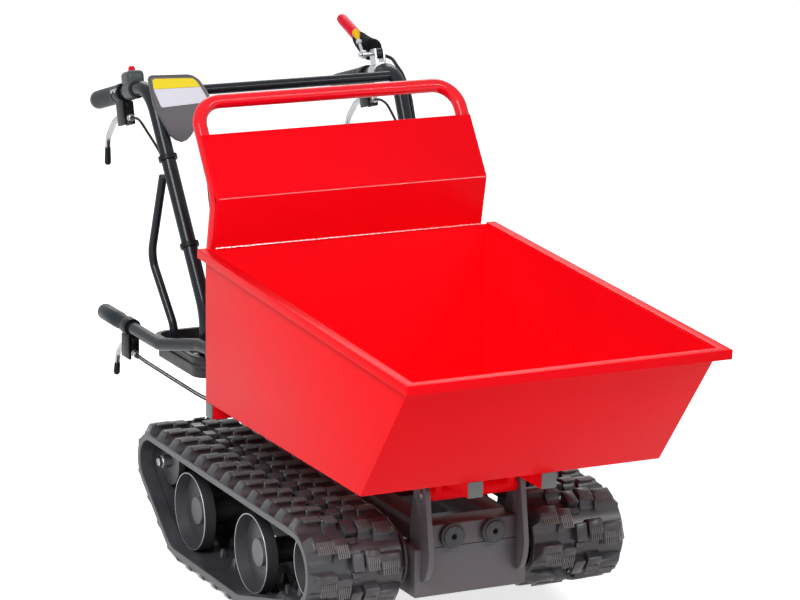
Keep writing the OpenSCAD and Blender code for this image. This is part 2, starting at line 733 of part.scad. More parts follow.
module bin_hoop() {
    off = (hoop_r + face_gap) / cos(atan(back_top_lean / back_top_h));
    bar_z = plate_top + hoop_gap + hoop_r;
    bar_y = off - back_fold_lean + back_top_lean * (bar_z - fold_z) / back_top_h;
    half = [[hoop_x, off, rim_z - hoop_foot], [hoop_x, off, rim_z], [hoop_x, off - back_fold_lean, fold_z],
        [hoop_x, bar_y, bar_z]];
    other = [for (i = [3:-1:0]) [-half[i][0], half[i][1], half[i][2]]];
    color(red_paint) shift() bent_tube(concat(half, other), [60, 60, 48, 48, 60, 60], hoop_r, [0, 1, 0]);
}

// Underframe: two long tubes, a rear cross tube, the hinge sleeve on two lugs and the latch ears
tube_x = [for (q = [-1, 1]) under_shift + q * under_span / 2];
sleeve_r = hinge_pin_r + 6;
cap_t = 3;
ear_y = -14;
ear_z = bin_z - under_tube - 12;
latch_pin_r = 4;
latch_half = 4.7;
module bin_underframe() {
    low = bin_z - under_tube;
    color(red_paint) shift() difference() {
        union() {
            for (x = tube_x) {
                box([x - under_tube / 2, x + under_tube / 2], [-bin_floor_l + cap_t, 0], [low, bin_z]);
                side_profile(x - 6, 12) polygon([[hinge_y - 26, low], [hinge_y + 26, low],
                    [hinge_y + sleeve_r - 1, hinge_z], [hinge_y - sleeve_r + 1, hinge_z]]);
            }
            box([-bin_w / 2 + cap_t, bin_w / 2 - cap_t], [-under_tube, 0], [low, bin_z]);
            rod([-buffer_half + 1, hinge_y, hinge_z], [buffer_half - 1, hinge_y, hinge_z], sleeve_r);
            for (q = [-1, 1]) box([q * 7 - 2, q * 7 + 2], [ear_y - 9, ear_y + 9], [ear_z - 9, low]);
            rod([-9, ear_y, ear_z], [9, ear_y, ear_z], latch_pin_r);
        }
        rod([-overall_w / 2, hinge_y, hinge_z], [overall_w / 2, hinge_y, hinge_z], hinge_pin_r + run_gap);
    }
}
module tube_caps() {
    low = bin_z - under_tube;
    color(cap_grey) shift() {
        for (x = tube_x)
            box([x - under_tube / 2, x + under_tube / 2], [-bin_floor_l, -bin_floor_l + cap_t], [low, bin_z]);
        for (q = [-1, 1]) box([q * (bin_w - cap_t) / 2 - cap_t / 2, q * (bin_w - cap_t) / 2 + cap_t / 2],
            [-under_tube, 0], [low, bin_z]);
    }
}
module tip_latch() {
    color(zinc) shift() difference() {
        union() {
            rod([-latch_half, ear_y, ear_z], [latch_half, ear_y, ear_z], 8);
            side_profile(-latch_half, 2 * latch_half) polygon([[ear_y - 8, ear_z],
                [ear_y - 10, striker_z - 14], [ear_y + 4, striker_z - 14], [ear_y + 12, striker_z - 6],
                [ear_y - 1, striker_z - 2], [ear_y + 5, ear_z]]);
        }
        rod([-20, ear_y, ear_z], [20, ear_y, ear_z], latch_pin_r + run_gap);
    }
}

// Tipping handle on the bin's rear wall, with its grip, release lever and cables
tip_r = 12;
tip_inset = 22.5;
tip_pass = 31;
tip_out = 54;
tip_x = -foot_x - tip_out;
tip_end = [tip_x, 490, 397];
tip_run = [[tip_inset - bin_w / 2, 1.5, 428], [-foot_x - tip_pass, 75, 424], [tip_x, 208, tip_end[2]],
    tip_end];
module tip_handle() {
    color(black_tube) shift() {
        bent_tube(tip_run, [60, 70], tip_r, [0, 0, 1]);
        rod([tip_run[0][0], 0, tip_run[0][2]], tip_run[0] + [0, 4, 0], tip_r + 10);
    }
}
module tip_grip() {
    color(rubber) shift() difference() {
        rod(tip_end - [0, grip_l, 0], tip_end + [0, 5, 0], tip_r + grip_t);
        rod(tip_end - [0, grip_l + 1, 0], tip_end + [0, eps, 0], tip_r);
    }
}

// Clamp-on lever brackets: a ring round the tube, a body under it and a fork with its pin
fork_gap = 5;
fork_t = 4;
pivot_drop = 24;
lever_pin_r = 4;
lever_rod_r = 4.5;
lever_knee = [0, 35, -44];
lever_tip = [0, 112, -80];
module clamp_bracket(tube_r) {
    half = fork_gap + fork_t;
    difference() {
        union() {
            rotate([90, 0, 0]) cylinder(h = 26, r = tube_r + 5, center = true);
            box([-half, half], [-16, 16], [-tube_r - 13, -tube_r + 4]);
            for (q = [-1, 1]) translate([q * (fork_gap + fork_t / 2), 0, 0])
                box([-fork_t / 2, fork_t / 2], [-16, 14], [-tube_r - pivot_drop - 9, -tube_r - 12]);
            rod([-half, 2, -tube_r - pivot_drop], [half, 2, -tube_r - pivot_drop], lever_pin_r);
            rod([0, -15, -tube_r - 8], [0, -28, -tube_r - 12], 4.5);
        }
        rotate([90, 0, 0]) cylinder(h = 40, r = tube_r + run_gap, center = true);
    }
}
module hand_lever(tube_r, size) {
    pivot = [0, 2, -tube_r - pivot_drop];
    reach = fork_gap - face_gap;
    difference() {
        union() {
            rod(pivot - [reach, 0, 0], pivot + [reach, 0, 0], 9);
            bent_tube([pivot, pivot + size * lever_knee, pivot + size * lever_tip], [36 * size], lever_rod_r,
                sides = 12);
            translate(pivot + size * lever_tip) sphere(7);
        }
        rod(pivot - [20, 0, 0], pivot + [20, 0, 0], lever_pin_r + run_gap);
    }
}
module on_grip(side, d) {
    translate([side * grip_x, bar_end_y, bar_end_z]) rotate([-grip_fall, 0, 0])
        translate([0, -d, 0]) children();
}
steer_at = grip_l + 22;
tip_bracket_at = tip_end - [0, grip_l + 20, 0];
tip_lever_size = 0.72;
module tip_bracket() { color(black_tube) shift() translate(tip_bracket_at) clamp_bracket(tip_r); }
module tip_lever() { color(zinc) shift() translate(tip_bracket_at) hand_lever(tip_r, tip_lever_size); }
pair_drop = 7;
latch_route = [[tip_x, 329, 374], [tip_x + 1, 290, 355], [tip_x + 5, 230, 344], [tip_x + 14, 140, 334],
    [-262, 60, 328], [-236, 16, 324], [-180, 8, 322], [-90, 8, 320], [-14, 8, 317]];
cable_r = 2.8;
module latch_cables() {
    color(rubber) shift() for (k = [0, 1])
        cable([for (p = latch_route) p - [0, 0, pair_drop * k]], cable_r, [0, 0, 1]);
}

// Handlebar: two bent tubes on the deck with an upper and a lower crossbar
knee_z = 470;
bend_low = 120;
bend_high = 70;
function bar_points(side) = [[side * foot_x, bar_foot_y, deck_floor], [side * foot_x, bar_foot_y, knee_z],
    [side * grip_x, bar_bend_y, bar_bend_z], [side * grip_x, bar_end_y, bar_end_z]];
function on_incline(side, t) = let (p = bar_points(side)) p[1] + t * (p[2] - p[1]);
incline = unit(bar_points(1)[2] - bar_points(1)[1]);
bar_rise = atan2(bar_bend_z - knee_z, bar_bend_y - bar_foot_y);
grip_dir = unit(bar_points(1)[3] - bar_points(1)[2]);
bend_turn = acos(incline * grip_dir);
bend_in = unit(grip_dir - incline);
bend_apex = bar_points(1)[2] + bend_in * bend_high * (1 / cos(bend_turn / 2) - 1);
low_bar_t = 0.84;
module handlebar() {
    low = on_incline(1, low_bar_t);
    color(black_tube) shift() {
        for (side = [-1, 1]) bent_tube(bar_points(side), [bend_low, bend_high], bar_r);
        rod([-bend_apex[0], bend_apex[1], bend_apex[2]], bend_apex, bar_r - 4);
        rod([-low[0], low[1], low[2]], low, bar_r - 6);
    }
}
module hand_grips() {
    color(rubber) shift() for (side = [-1, 1]) on_grip(side, 0) difference() {
        rotate([90, 0, 0]) cylinder(h = grip_l, r = bar_r + grip_t);
        rotate([90, 0, 0]) translate([0, 0, -1]) cylinder(h = grip_l + 2, r = bar_r);
    }
}
module lever_brackets() {
    color(black_tube) shift() for (side = [-1, 1]) on_grip(side, steer_at) clamp_bracket(bar_r);
}
module steer_lever_right() { color(zinc) shift() on_grip(-1, steer_at) hand_lever(bar_r, 1); }
module steer_lever_left() { color(zinc) shift() on_grip(1, steer_at) hand_lever(bar_r, 1); }

// Braces from the handlebar down to the deck
brace_r = 8;
brace_side = 10;
brace_t = 0.59;
brace_back = sqrt(pow(bar_r + brace_r + face_gap, 2) - pow(brace_side, 2));
module handle_braces() {
    color(black_tube) shift() for (side = [-1, 1]) {
        joint = on_incline(side, brace_t);
        top = joint + [side * brace_side, 0, 0] + brace_back * behind;
        foot = [side * (foot_x + 11), deck_rear - 62, deck_floor];
        bent_tube([top + 12 * incline, top + [0, 68, -155], foot + [0, 0, 60], foot], [50, 50], brace_r,
            sides = 12);
    }
}

// Drive lever and throttle on the left bar
drive_at = 196;
drive_pivot = [0, 0, bar_r + 22];
throttle_x = -30;
drive_arm_r = 6;
drive_fork = drive_arm_r + 1;
module drive_bracket() {
    color(zinc) shift() on_grip(1, drive_at) difference() {
        union() {
            rotate([90, 0, 0]) cylinder(h = 30, r = bar_r + 4, center = true);
            for (q = [-1, 1]) translate([q * (drive_fork + fork_t / 2), 0, 0])
                box([-fork_t / 2, fork_t / 2], [-12, 12], [bar_r - 2, bar_r + 31]);
            rod(drive_pivot + [throttle_x - 10, 0, 0], drive_pivot + [drive_fork + fork_t, 0, 0],
                lever_pin_r);
        }
        rotate([90, 0, 0]) cylinder(h = 40, r = bar_r + run_gap, center = true);
    }
}
drive_arm = [drive_pivot, drive_pivot + [0, 50, 22], drive_pivot + [0, 148, 86]];
module drive_lever() {
    eye = drive_fork - face_gap;
    color(black_tube) shift() on_grip(1, drive_at) difference() {
        union() {
            rod(drive_pivot - [eye, 0, 0], drive_pivot + [eye, 0, 0], 10);
            bent_tube(drive_arm, [60], drive_arm_r);
        }
        rod(drive_pivot - [20, 0, 0], drive_pivot + [20, 0, 0], lever_pin_r + run_gap);
    }
}
drive_grip_l = 84;
module drive_grip() {
    d = unit(drive_arm[2] - drive_arm[1]);
    color(signal_red) shift() on_grip(1, drive_at) difference() {
        rod(drive_arm[2] - d * drive_grip_l, drive_arm[2] + d * 5, 11);
        rod(drive_arm[2] - d * (drive_grip_l + 1), drive_arm[2] + d * eps, drive_arm_r);
    }
}
module throttle_lever() {
    hub = drive_pivot + [throttle_x, 0, 0];
    color(zinc) shift() on_grip(1, drive_at) difference() {
        union() {
            rod(hub - [4, 0, 0], hub + [4, 0, 0], 8);
            rod(hub, hub + [0, 22, 42], 3);
            translate(hub + [0, 22, 42]) sphere(9);
        }
        rod(hub - [20, 0, 0], hub + [20, 0, 0], lever_pin_r + run_gap);
    }
}

// Stop switch box on the right bar
switch_at = 190;
button_r = 6.5;
button_h = 12;
module switch_box() {
    color(cap_grey) shift() on_grip(-1, switch_at) difference() {
        union() {
            rotate([90, 0, 0]) cylinder(h = 34, r = bar_r + 4, center = true);
            translate([0, 0, bar_r - 2]) linear_extrude(24) rounded_rect(34, 44, 9);
        }
        rotate([90, 0, 0]) cylinder(h = 60, r = bar_r + run_gap, center = true);
        translate([0, 0, bar_r + 22 - button_h + 4]) cylinder(h = 30, r = button_r + run_gap);
    }
}
module stop_switch() {
    color(signal_red) shift() on_grip(-1, switch_at) translate([0, 0, bar_r + 22 - button_h + 8]) {
        cylinder(h = button_h - 2, r = button_r);
        translate([0, 0, button_h - 2]) cylinder(h = 3, r = button_r - 1.5);
    }
}

// Dash panel on the front of the right bar
panel_t = 2.5;
module dash_panel() {
    base = on_incline(-1, 0.86);
    color(dark_paint) shift() translate([0, base[1], base[2]]) rotate([bar_rise, 0, 0])
        translate([0, 0, bar_r + face_gap]) {
            linear_extrude(panel_t) panel_outline();
            translate([0, 0, panel_t]) linear_extrude(3) difference() {
                panel_outline();
                translate([-211, 10]) scale(0.94) translate([211, -10]) panel_outline();
            }
        }
}
module panel_outline() {
    polygon([[-264, 70], [-256, 76], [-182, 72], [-168, 54], [-146, 16], [-202, -48], [-222, -58],
        [-244, -42], [-264, 18]]);
}

// Cables clipped along the handlebar, and their clamps
clip_off = bar_r + 4 + cable_r + 0.6;
clip_t = [0.3, 0.68];
cable_t = [0.68, 0.5, 0.3, 0.1];
behind = [0, incline[2], -incline[1]];
cable_foot = min(foot_x, deck_w / 2 - deck_corner / 2);
module control_cables() {
    rel = -bar_r - 13;
    start = [bar_end_y - (steer_at + 28) * cos(grip_fall) + rel * sin(grip_fall),
        bar_end_z + (steer_at + 28) * sin(grip_fall) + rel * cos(grip_fall)];
    color(rubber) shift() for (side = [-1, 1]) {
        hold = [for (t = cable_t) on_incline(side, t) + behind * clip_off];
        cable(concat([[side * grip_x, start[0], start[1]], [side * grip_x, start[0] - 36, start[1] - 26],
            [side * (grip_x - 1), start[0] - 80, start[1] - 44]], hold,
            [[side * cable_foot, bar_foot_y + clip_off, knee_z - 50],
                [side * cable_foot, bar_foot_y + clip_off, deck_floor + 6]]), cable_r, [1, 0, 0]);
    }
}
module cable_clamps() {
    color(black_tube) shift() for (side = [-1, 1], t = clip_t) translate(on_incline(side, t))
        rotate(aim([side * incline[0], incline[1], incline[2]])) difference() {
            cylinder(h = 9, r = bar_r + 4, center = true);
            cylinder(h = 20, r = bar_r + run_gap, center = true);
        }
}

// Hexagon bolt heads on the deck and the front beam
bolt_af = 7;
module bolt_head(at, turn) {
    translate(at) rotate(turn) {
        cylinder(h = 2, r = bolt_af + 3);
        cylinder(h = 8, r = bolt_af, $fn = 6);
    }
}
module frame_bolts() {
    color(zinc) shift() for (side = [-1, 1]) {
        for (y = [deck_front + 62, deck_rear - 30]) bolt_head([side * 190, y, deck_floor], [0, 0, 0]);
        for (y = [front_roller_y, rear_roller_y])
            bolt_head([side * plate_in, y, roller_z], [0, -side * 90, 0]);
    }
}

track_right();
track_left();
sprocket_right();
sprocket_left();
idler_right();
idler_left();
front_roller_right();
front_roller_left();
rear_roller_right();
rear_roller_left();
roller_axles();
track_frames();
chassis_frame();
front_beam();
rubber_buffers();
hinge_plates();
hinge_pin();
gearbox();
gear_bracket();
gear_lever();
drive_belt();
gearbox_pulley();
engine_pulley();
engine_deck();
engine_block();
engine_cylinder();
recoil_cover();
recoil_handle();
fuel_tank();
fuel_cap();
air_cleaner();
muffler();
bin_tub();
bin_rim();
bin_back_plate();
bin_hoop();
bin_underframe();
tube_caps();
tip_handle();
tip_grip();
tip_bracket();
tip_lever();
tip_latch();
latch_cables();
handlebar();
handle_braces();
hand_grips();
lever_brackets();
steer_lever_right();
steer_lever_left();
drive_bracket();
drive_lever();
drive_grip();
throttle_lever();
switch_box();
stop_switch();
dash_panel();
control_cables();
cable_clamps();
frame_bolts();
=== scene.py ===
import json
from math import asin, atan, atan2, ceil, cos, hypot, pi, radians, sin, sqrt, tan

import bmesh
import bpy
from mathutils import Matrix, Vector


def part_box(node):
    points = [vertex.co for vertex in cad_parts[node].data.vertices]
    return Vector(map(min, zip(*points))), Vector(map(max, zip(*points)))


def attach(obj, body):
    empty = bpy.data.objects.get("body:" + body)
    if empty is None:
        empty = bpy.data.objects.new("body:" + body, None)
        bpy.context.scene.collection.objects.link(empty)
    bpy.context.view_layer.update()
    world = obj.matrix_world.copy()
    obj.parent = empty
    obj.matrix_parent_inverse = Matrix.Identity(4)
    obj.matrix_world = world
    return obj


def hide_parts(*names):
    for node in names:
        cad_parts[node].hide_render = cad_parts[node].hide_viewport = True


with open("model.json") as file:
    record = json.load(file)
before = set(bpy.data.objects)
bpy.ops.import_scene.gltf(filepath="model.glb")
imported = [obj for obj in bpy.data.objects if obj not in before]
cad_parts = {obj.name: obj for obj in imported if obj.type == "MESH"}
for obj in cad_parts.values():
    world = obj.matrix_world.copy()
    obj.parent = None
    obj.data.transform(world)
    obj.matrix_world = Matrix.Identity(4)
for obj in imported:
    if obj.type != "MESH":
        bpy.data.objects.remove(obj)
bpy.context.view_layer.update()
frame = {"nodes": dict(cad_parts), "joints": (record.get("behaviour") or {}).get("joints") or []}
nodes = frame["nodes"]
joints = {joint["name"]: joint for joint in frame["joints"]}
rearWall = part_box("bin_tub")[1].y  # outer face of the bin's rear wall
print("frame loaded:", len(nodes), "nodes")


# Hands: selecting, shaping and settling pieces

shaping = {"merge": 0.00002, "flat": 1, "facing": 0.9}  # metres, degrees, share of a face's normal
acrossTurn = Matrix(((0, 0, 1, 0), (1, 0, 0, 0), (0, 1, 0, 0), (0, 0, 0, 1)))  # a side sketch stood upright


def at(x, y, z):
    return Vector((x, y + rearWall, z))  # y counts from the bin's rear wall


def calm():
    if bpy.context.object and bpy.context.object.mode != "OBJECT":
        bpy.ops.object.mode_set(mode="OBJECT")
    bpy.ops.object.select_all(action="DESELECT")


def only(piece):
    calm()
    piece.select_set(True)
    bpy.context.view_layer.objects.active = piece
    return piece


def edit(piece, kind="FACE"):
    only(piece)
    bpy.ops.object.mode_set(mode="EDIT")
    bpy.ops.mesh.select_mode(type=kind)
    bpy.ops.mesh.select_all(action="SELECT")


# Selects the faces that look along an axis: 1 is y, 2 is z
def pickFacing(piece, axis):
    bpy.ops.mesh.select_all(action="DESELECT")
    mesh = bmesh.from_edit_mesh(piece.data)
    for face in mesh.faces:
        if face.normal[axis] > shaping["facing"]:
            face.select_set(True)
    bmesh.update_edit_mesh(piece.data)


def named(name):
    piece = bpy.context.object
    piece.name = name
    piece.data.name = name
    return piece


def settleShape(piece, spot=None):
    only(piece)
    if spot is not None:
        piece.matrix_world = spot
    bpy.ops.object.transform_apply(location=True, rotation=True, scale=True)
    return piece


def modify(piece, kind, **settings):
    only(piece)
    tool = piece.modifiers.new(kind.title(), kind)
    for key, value in settings.items():
        setattr(tool, key, value)
    bpy.ops.object.modifier_apply(modifier=tool.name)
    return piece


def smooth(piece, angle=40):
    only(piece)
    bpy.ops.object.shade_smooth_by_angle(angle=radians(angle))
    return piece


def soften(piece, width, segments=2, angle=30):
    modify(piece, "BEVEL", width=width, segments=segments, limit_method="ANGLE", angle_limit=radians(angle))
    return smooth(piece)


def joined(name, parts):
    only(parts[0])
    for part in parts:
        part.select_set(True)
    bpy.ops.object.join()
    return named(name)


def block(name, low, high):
    low, high = Vector(low), Vector(high)
    calm()
    bpy.ops.mesh.primitive_cube_add(size=1, location=(low + high) / 2)
    piece = named(name)
    piece.scale = high - low
    return settleShape(piece)


def sketch(name, outline, fill):
    calm()
    bpy.ops.mesh.primitive_circle_add(vertices=len(outline), radius=1, fill_type=fill)
    piece = named(name)
    for vertex, (x, y) in zip(piece.data.vertices, outline):
        vertex.co = (x, y, 0)
    return piece


def plate(name, outline, thickness, spot=None):
    piece = sketch(name, outline, "NGON")
    edit(piece)
    bpy.ops.mesh.extrude_region_move(TRANSFORM_OT_translate={"value": (0, 0, thickness)})
    bpy.ops.mesh.select_all(action="SELECT")
    bpy.ops.mesh.normals_make_consistent(inside=False)
    return settleShape(piece, spot)


def aimed(place, axis):
    turn = Vector((0, 0, 1)).rotation_difference(Vector(axis)).to_matrix().to_4x4()
    return Matrix.Translation(place) @ turn


# A round piece drawn out along its axis, one (height, radius) step after another
def turned(name, profile, place=(0, 0, 0), axis=(0, 0, 1), sides=48):
    height, radius = profile[0]
    calm()
    bpy.ops.mesh.primitive_circle_add(vertices=sides, radius=radius, fill_type="NGON",
                                      location=(0, 0, height))
    piece = settleShape(named(name))
    edit(piece)
    for (z0, r0), (z1, r1) in zip(profile, profile[1:]):
        bpy.ops.mesh.extrude_region_move(TRANSFORM_OT_translate={"value": (0, 0, z1 - z0)})
        bpy.ops.transform.resize(value=(r1 / r0, r1 / r0, 1), center_override=(0, 0, z1))
    bpy.ops.mesh.select_all(action="SELECT")
    bpy.ops.mesh.normals_make_consistent(inside=False)
    settleShape(piece, aimed(place, axis))
    return smooth(piece, 32)


# A path through corner points, with each corner bent to its own radius
def filleted(points, bends, step=5):
    path = [points[0]]
    for before, corner, after, bend in zip(points, points[1:], points[2:], bends):
        d1, d2 = (corner - before).normalized(), (after - corner).normalized()
        turn = d1.angle(d2)
        inward = (d2 - d1 * d1.dot(d2)).normalized()
        centre = corner - d1 * bend * tan(turn / 2) + inward * bend
        count = max(2, ceil(turn / radians(step)))
        for k in range(count + 1):
            a = turn * k / count
            path.append(centre - inward * bend * cos(a) + d1 * bend * sin(a))
    return path + [points[-1]]


# A smooth curve that passes through every point
def throughPoints(points, steps):
    path = []
    for i in range(len(points) - 1):
        a, b = points[max(i - 1, 0)], points[i]
        c, d = points[i + 1], points[min(i + 2, len(points) - 1)]
        for k in range(steps):
            t = k / steps
            path.append(0.5 * (2 * b + (c - a) * t + (2 * a - 5 * b + 4 * c - d) * t ** 2
                               + (3 * b - a - 3 * c + d) * t ** 3))
    return path + [points[-1]]


def polyPath(name, spots):
    calm()
    bpy.ops.curve.primitive_nurbs_path_add()
    piece = named(name)
    piece.data.splines.clear()
    spline = piece.data.splines.new("POLY")
    spline.points.add(len(spots) - 1)
    for point, spot in zip(spline.points, spots):
        point.co = (*spot, 1)
    return piece, spline


def tube(name, path, radius, roundness=8, swell=None):
    piece, spline = polyPath(name, path)
    if swell:
        for i, point in enumerate(spline.points):
            point.radius = swell(i)
    piece.data.bevel_depth = radius
    piece.data.bevel_resolution = roundness
    piece.data.use_fill_caps = True
    bpy.ops.object.convert(target="MESH")
    return smooth(bpy.context.object)


# A copy of a solid with eased edges
def softCopy(name, node, width, segments=2, angle=30):
    only(nodes[node])
    bpy.ops.object.duplicate()
    piece = bpy.context.object
    piece.parent = None
    for key in [key for key in piece.keys() if key.startswith("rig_")]:
        del piece[key]
    named(name)
    edit(piece, "VERT")
    bpy.ops.mesh.remove_doubles(threshold=shaping["merge"])
    bpy.ops.mesh.dissolve_limited(angle_limit=radians(shaping["flat"]))
    calm()
    return soften(piece, width, segments, angle)


# Eased copies in place of their solids; a row may end with its own segments and angle
def easeSheets(table):
    for node, (name, ease, finish, body, slotName, *cut) in table.items():
        settle(softCopy(name, node, ease, *cut), finish, body, node, slot=slotName)


def settle(piece, finish, body, *replaced, slot=None):
    piece.data.materials.clear()
    piece.data.materials.append(finish.material)
    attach(piece, body)
    if replaced:
        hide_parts(*replaced)
    return piece


# Finishes: a socket that takes arithmetic, the wiring of a node tree, and a material that feeds its shader

class Flow:
    def __init__(self, wiring, socket):
        self.wiring, self.socket = wiring, socket

    def blendWith(self, other, operation, swapped=False):
        pair = (other, self) if swapped else (self, other)
        return self.wiring.node("ShaderNodeMath", {"operation": operation}, {0: pair[0], 1: pair[1]})

    def __add__(self, other):
        return self.blendWith(other, "ADD")

    __radd__ = __add__

    def __sub__(self, other):
        return self.blendWith(other, "SUBTRACT")

    def __rsub__(self, other):
        return self.blendWith(other, "SUBTRACT", True)

    def __mul__(self, other):
        return self.blendWith(other, "MULTIPLY")

    __rmul__ = __mul__


class Wiring:
    def __init__(self, tree):
        self.tree = tree

    def node(self, kind, settings, links, output=0):
        made = self.tree.nodes.new(kind)
        for key, value in settings.items():
            setattr(made, key, value)
        for key, value in links.items():
            self.feed(made.inputs[key], value)
        return Flow(self, made.outputs[output])

    def feed(self, socket, value):
        if isinstance(value, Flow):
            self.tree.links.new(value.socket, socket)
        else:
            socket.default_value = value


class Finish(Wiring):
    def __init__(self, name, values):
        self.material = bpy.data.materials.new(name)
        self.material.use_nodes = True
        super().__init__(self.material.node_tree)
        self.shader = self.tree.nodes["Principled BSDF"]
        self.place = self.node("ShaderNodeTexCoord", {}, {}, "Object")
        for key, value in values.items():
            self.shader.inputs[key].default_value = value

    def noise(self, scale, detail=3, stretch=None):
        where = self.place
        if stretch:
            where = self.node("ShaderNodeMapping", {}, {"Vector": where, "Scale": stretch})
        return self.node("ShaderNodeTexNoise", {}, {"Vector": where, "Scale": scale, "Detail": detail})

    def ramp(self, value, low, high):
        return self.node("ShaderNodeMapRange", {}, {"Value": value, "From Min": low, "From Max": high})

    def tone(self, share, first, second):
        mixed = self.node("ShaderNodeMix", {"data_type": "RGBA"}, {0: share, 6: first, 7: second}, 2)
        self.feed(self.shader.inputs["Base Color"], mixed)

    def rough(self, value):
        self.feed(self.shader.inputs["Roughness"], value)

    def bump(self, height, strength, distance):
        links = {"Height": height, "Strength": strength, "Distance": distance}
        self.feed(self.shader.inputs["Normal"], self.node("ShaderNodeBump", {}, links, "Normal"))


def shade(colour, share):
    return (*(part * share for part in colour), 1)


paintLook = {"coatRough": 0.04, "driftScale": 5, "dark": 0.93, "light": 1.06, "speckRough": 0.12,
             "driftRough": 0.08, "depth": 0.0004}


def paint(name, colour, roughness, coat=0.0, grain=700, lift=0.08, gloss=0.5):
    look = paintLook
    finish = Finish(name, {"Coat Weight": coat, "Coat Roughness": look["coatRough"],
                           "Specular IOR Level": gloss})
    drift = finish.noise(look["driftScale"], 2)
    speck = finish.noise(grain, 2)
    finish.tone(drift, shade(colour, look["dark"]), shade(colour, look["light"]))
    finish.rough(roughness + (speck - 0.5) * look["speckRough"] + (drift - 0.5) * look["driftRough"])
    finish.bump(speck, lift, look["depth"])
    return finish


metalLook = {"lineScale": 6, "cloudScale": 60, "dark": 0.82, "light": 1.08, "lineRough": 0.18,
             "cloudRough": 0.12, "depth": 0.0003}


def bareMetal(name, colour, roughness, stretch=(40, 40, 400), lift=0.06):
    look = metalLook
    finish = Finish(name, {"Metallic": 1.0})
    lines = finish.noise(look["lineScale"], 4, stretch)
    cloud = finish.noise(look["cloudScale"], 3)
    finish.tone(cloud, shade(colour, look["dark"]), shade(colour, look["light"]))
    finish.rough(roughness + (lines - 0.5) * look["lineRough"] + (cloud - 0.5) * look["cloudRough"])
    finish.bump(lines, lift, look["depth"])
    return finish


mouldLook = {"cloudScale": 14, "dustFrom": 0.42, "dustTo": 0.72, "speckRough": 0.16, "dustRough": 0.08,
             "depth": 0.0005}


def moulded(name, colour, roughness, grain=420, lift=0.12, dust=0.0, gloss=0.45):
    look = mouldLook
    finish = Finish(name, {"Specular IOR Level": gloss})
    speck = finish.noise(grain, 3)
    cloud = finish.noise(look["cloudScale"], 4)
    film = finish.ramp(cloud, look["dustFrom"], look["dustTo"])
    finish.tone(film, shade(colour, 1.0), shade(colour, 1.0 + dust))
    finish.rough(roughness + (speck - 0.5) * look["speckRough"] + film * look["dustRough"])
    finish.bump(speck, lift, look["depth"])
    return finish


# Dark finishes have a low gloss, because the white surround would film them over
redEnamel = paint("redEnamel", (0.97, 0.003, 0.01), 0.36, grain=260, lift=0.03, gloss=0.05)
redGloss = paint("redGloss", (0.94, 0.003, 0.016), 0.3, coat=0.5, grain=260, lift=0.005, gloss=0.05)
# Paler pink red with a strong clear coat for thin lines on the back plate: a painted highlight
paintedHighlightRed = paint("paintedHighlightRed", (0.95, 0.09, 0.1), 0.18, coat=1.0, grain=260, lift=0.005, gloss=0.9)
greyPowder = paint("greyPowder", (0.105, 0.104, 0.115), 0.46, grain=900, lift=0.12)
deckPaint = paint("deckPaint", (0.026, 0.028, 0.032), 0.4, grain=800, gloss=0.28)
blackPowder = paint("blackPowder", (0.012, 0.016, 0.021), 0.36, coat=0.3, grain=800, lift=0.015, gloss=0.06)
wheelPaint = paint("wheelPaint", (0.05, 0.05, 0.056), 0.4)
axleGrey = paint("axleGrey", (0.15, 0.15, 0.16), 0.44, grain=600, lift=0.06)
trackRubber = moulded("trackRubber", (0.046, 0.047, 0.053), 0.3, grain=240, lift=0.1, dust=0.6)
# Paler rubber for the ribs on the lug tops: a painted highlight along them, with some random dust
paintedHighlightRubber = moulded("paintedHighlightRubber", (0.13, 0.13, 0.13), 0.4, grain=300, lift=0.16, dust=0.5)
gripRubber = moulded("gripRubber", (0.013, 0.018, 0.023), 0.32, grain=500, lift=0.08, dust=0.4, gloss=0.16)
bootRubber = moulded("bootRubber", (0.007, 0.007, 0.008), 0.6, grain=260, lift=0.3, dust=0.3, gloss=0.1)
blackPlastic = moulded("blackPlastic", (0.008, 0.009, 0.01), 0.36, grain=600, lift=0.1, dust=0.3, gloss=0.14)
cableSheath = moulded("cableSheath", (0.01, 0.01, 0.012), 0.35, grain=300, lift=0.04, gloss=0.2)
capPlastic = moulded("capPlastic", (0.13, 0.15, 0.15), 0.42, grain=500, lift=0.1, dust=0.1)
housingPlastic = moulded("housingPlastic", (0.05, 0.06, 0.066), 0.38, grain=600, dust=0.2, gloss=0.3)
signalRed = moulded("signalRed", (0.86, 0.002, 0.028), 0.3, grain=300, lift=0.04, gloss=0.08)
signalYellow = moulded("signalYellow", (0.9, 0.56, 0.005), 0.3, grain=300, lift=0.04, gloss=0.1)
labelYellow = moulded("labelYellow", (0.9, 0.74, 0.01), 0.32, grain=900, lift=0.02)
labelWhite = moulded("labelWhite", (0.74, 0.78, 0.87), 0.32, grain=900, lift=0.02)
zincSteel = bareMetal("zincSteel", (0.5, 0.51, 0.53), 0.3)
brightAlloy = bareMetal("brightAlloy", (0.46, 0.47, 0.49), 0.24)
castAlloy = bareMetal("castAlloy", (0.52, 0.53, 0.55), 0.5, (60, 60, 60), 0.25)
castIron = bareMetal("castIron", (0.2, 0.2, 0.21), 0.55, (70, 70, 70), 0.25)
wornEdge = bareMetal("wornEdge", (0.5, 0.5, 0.52), 0.4)
print("finishes ready")


# Studio: a white sweep, soft lamps and the photograph's camera

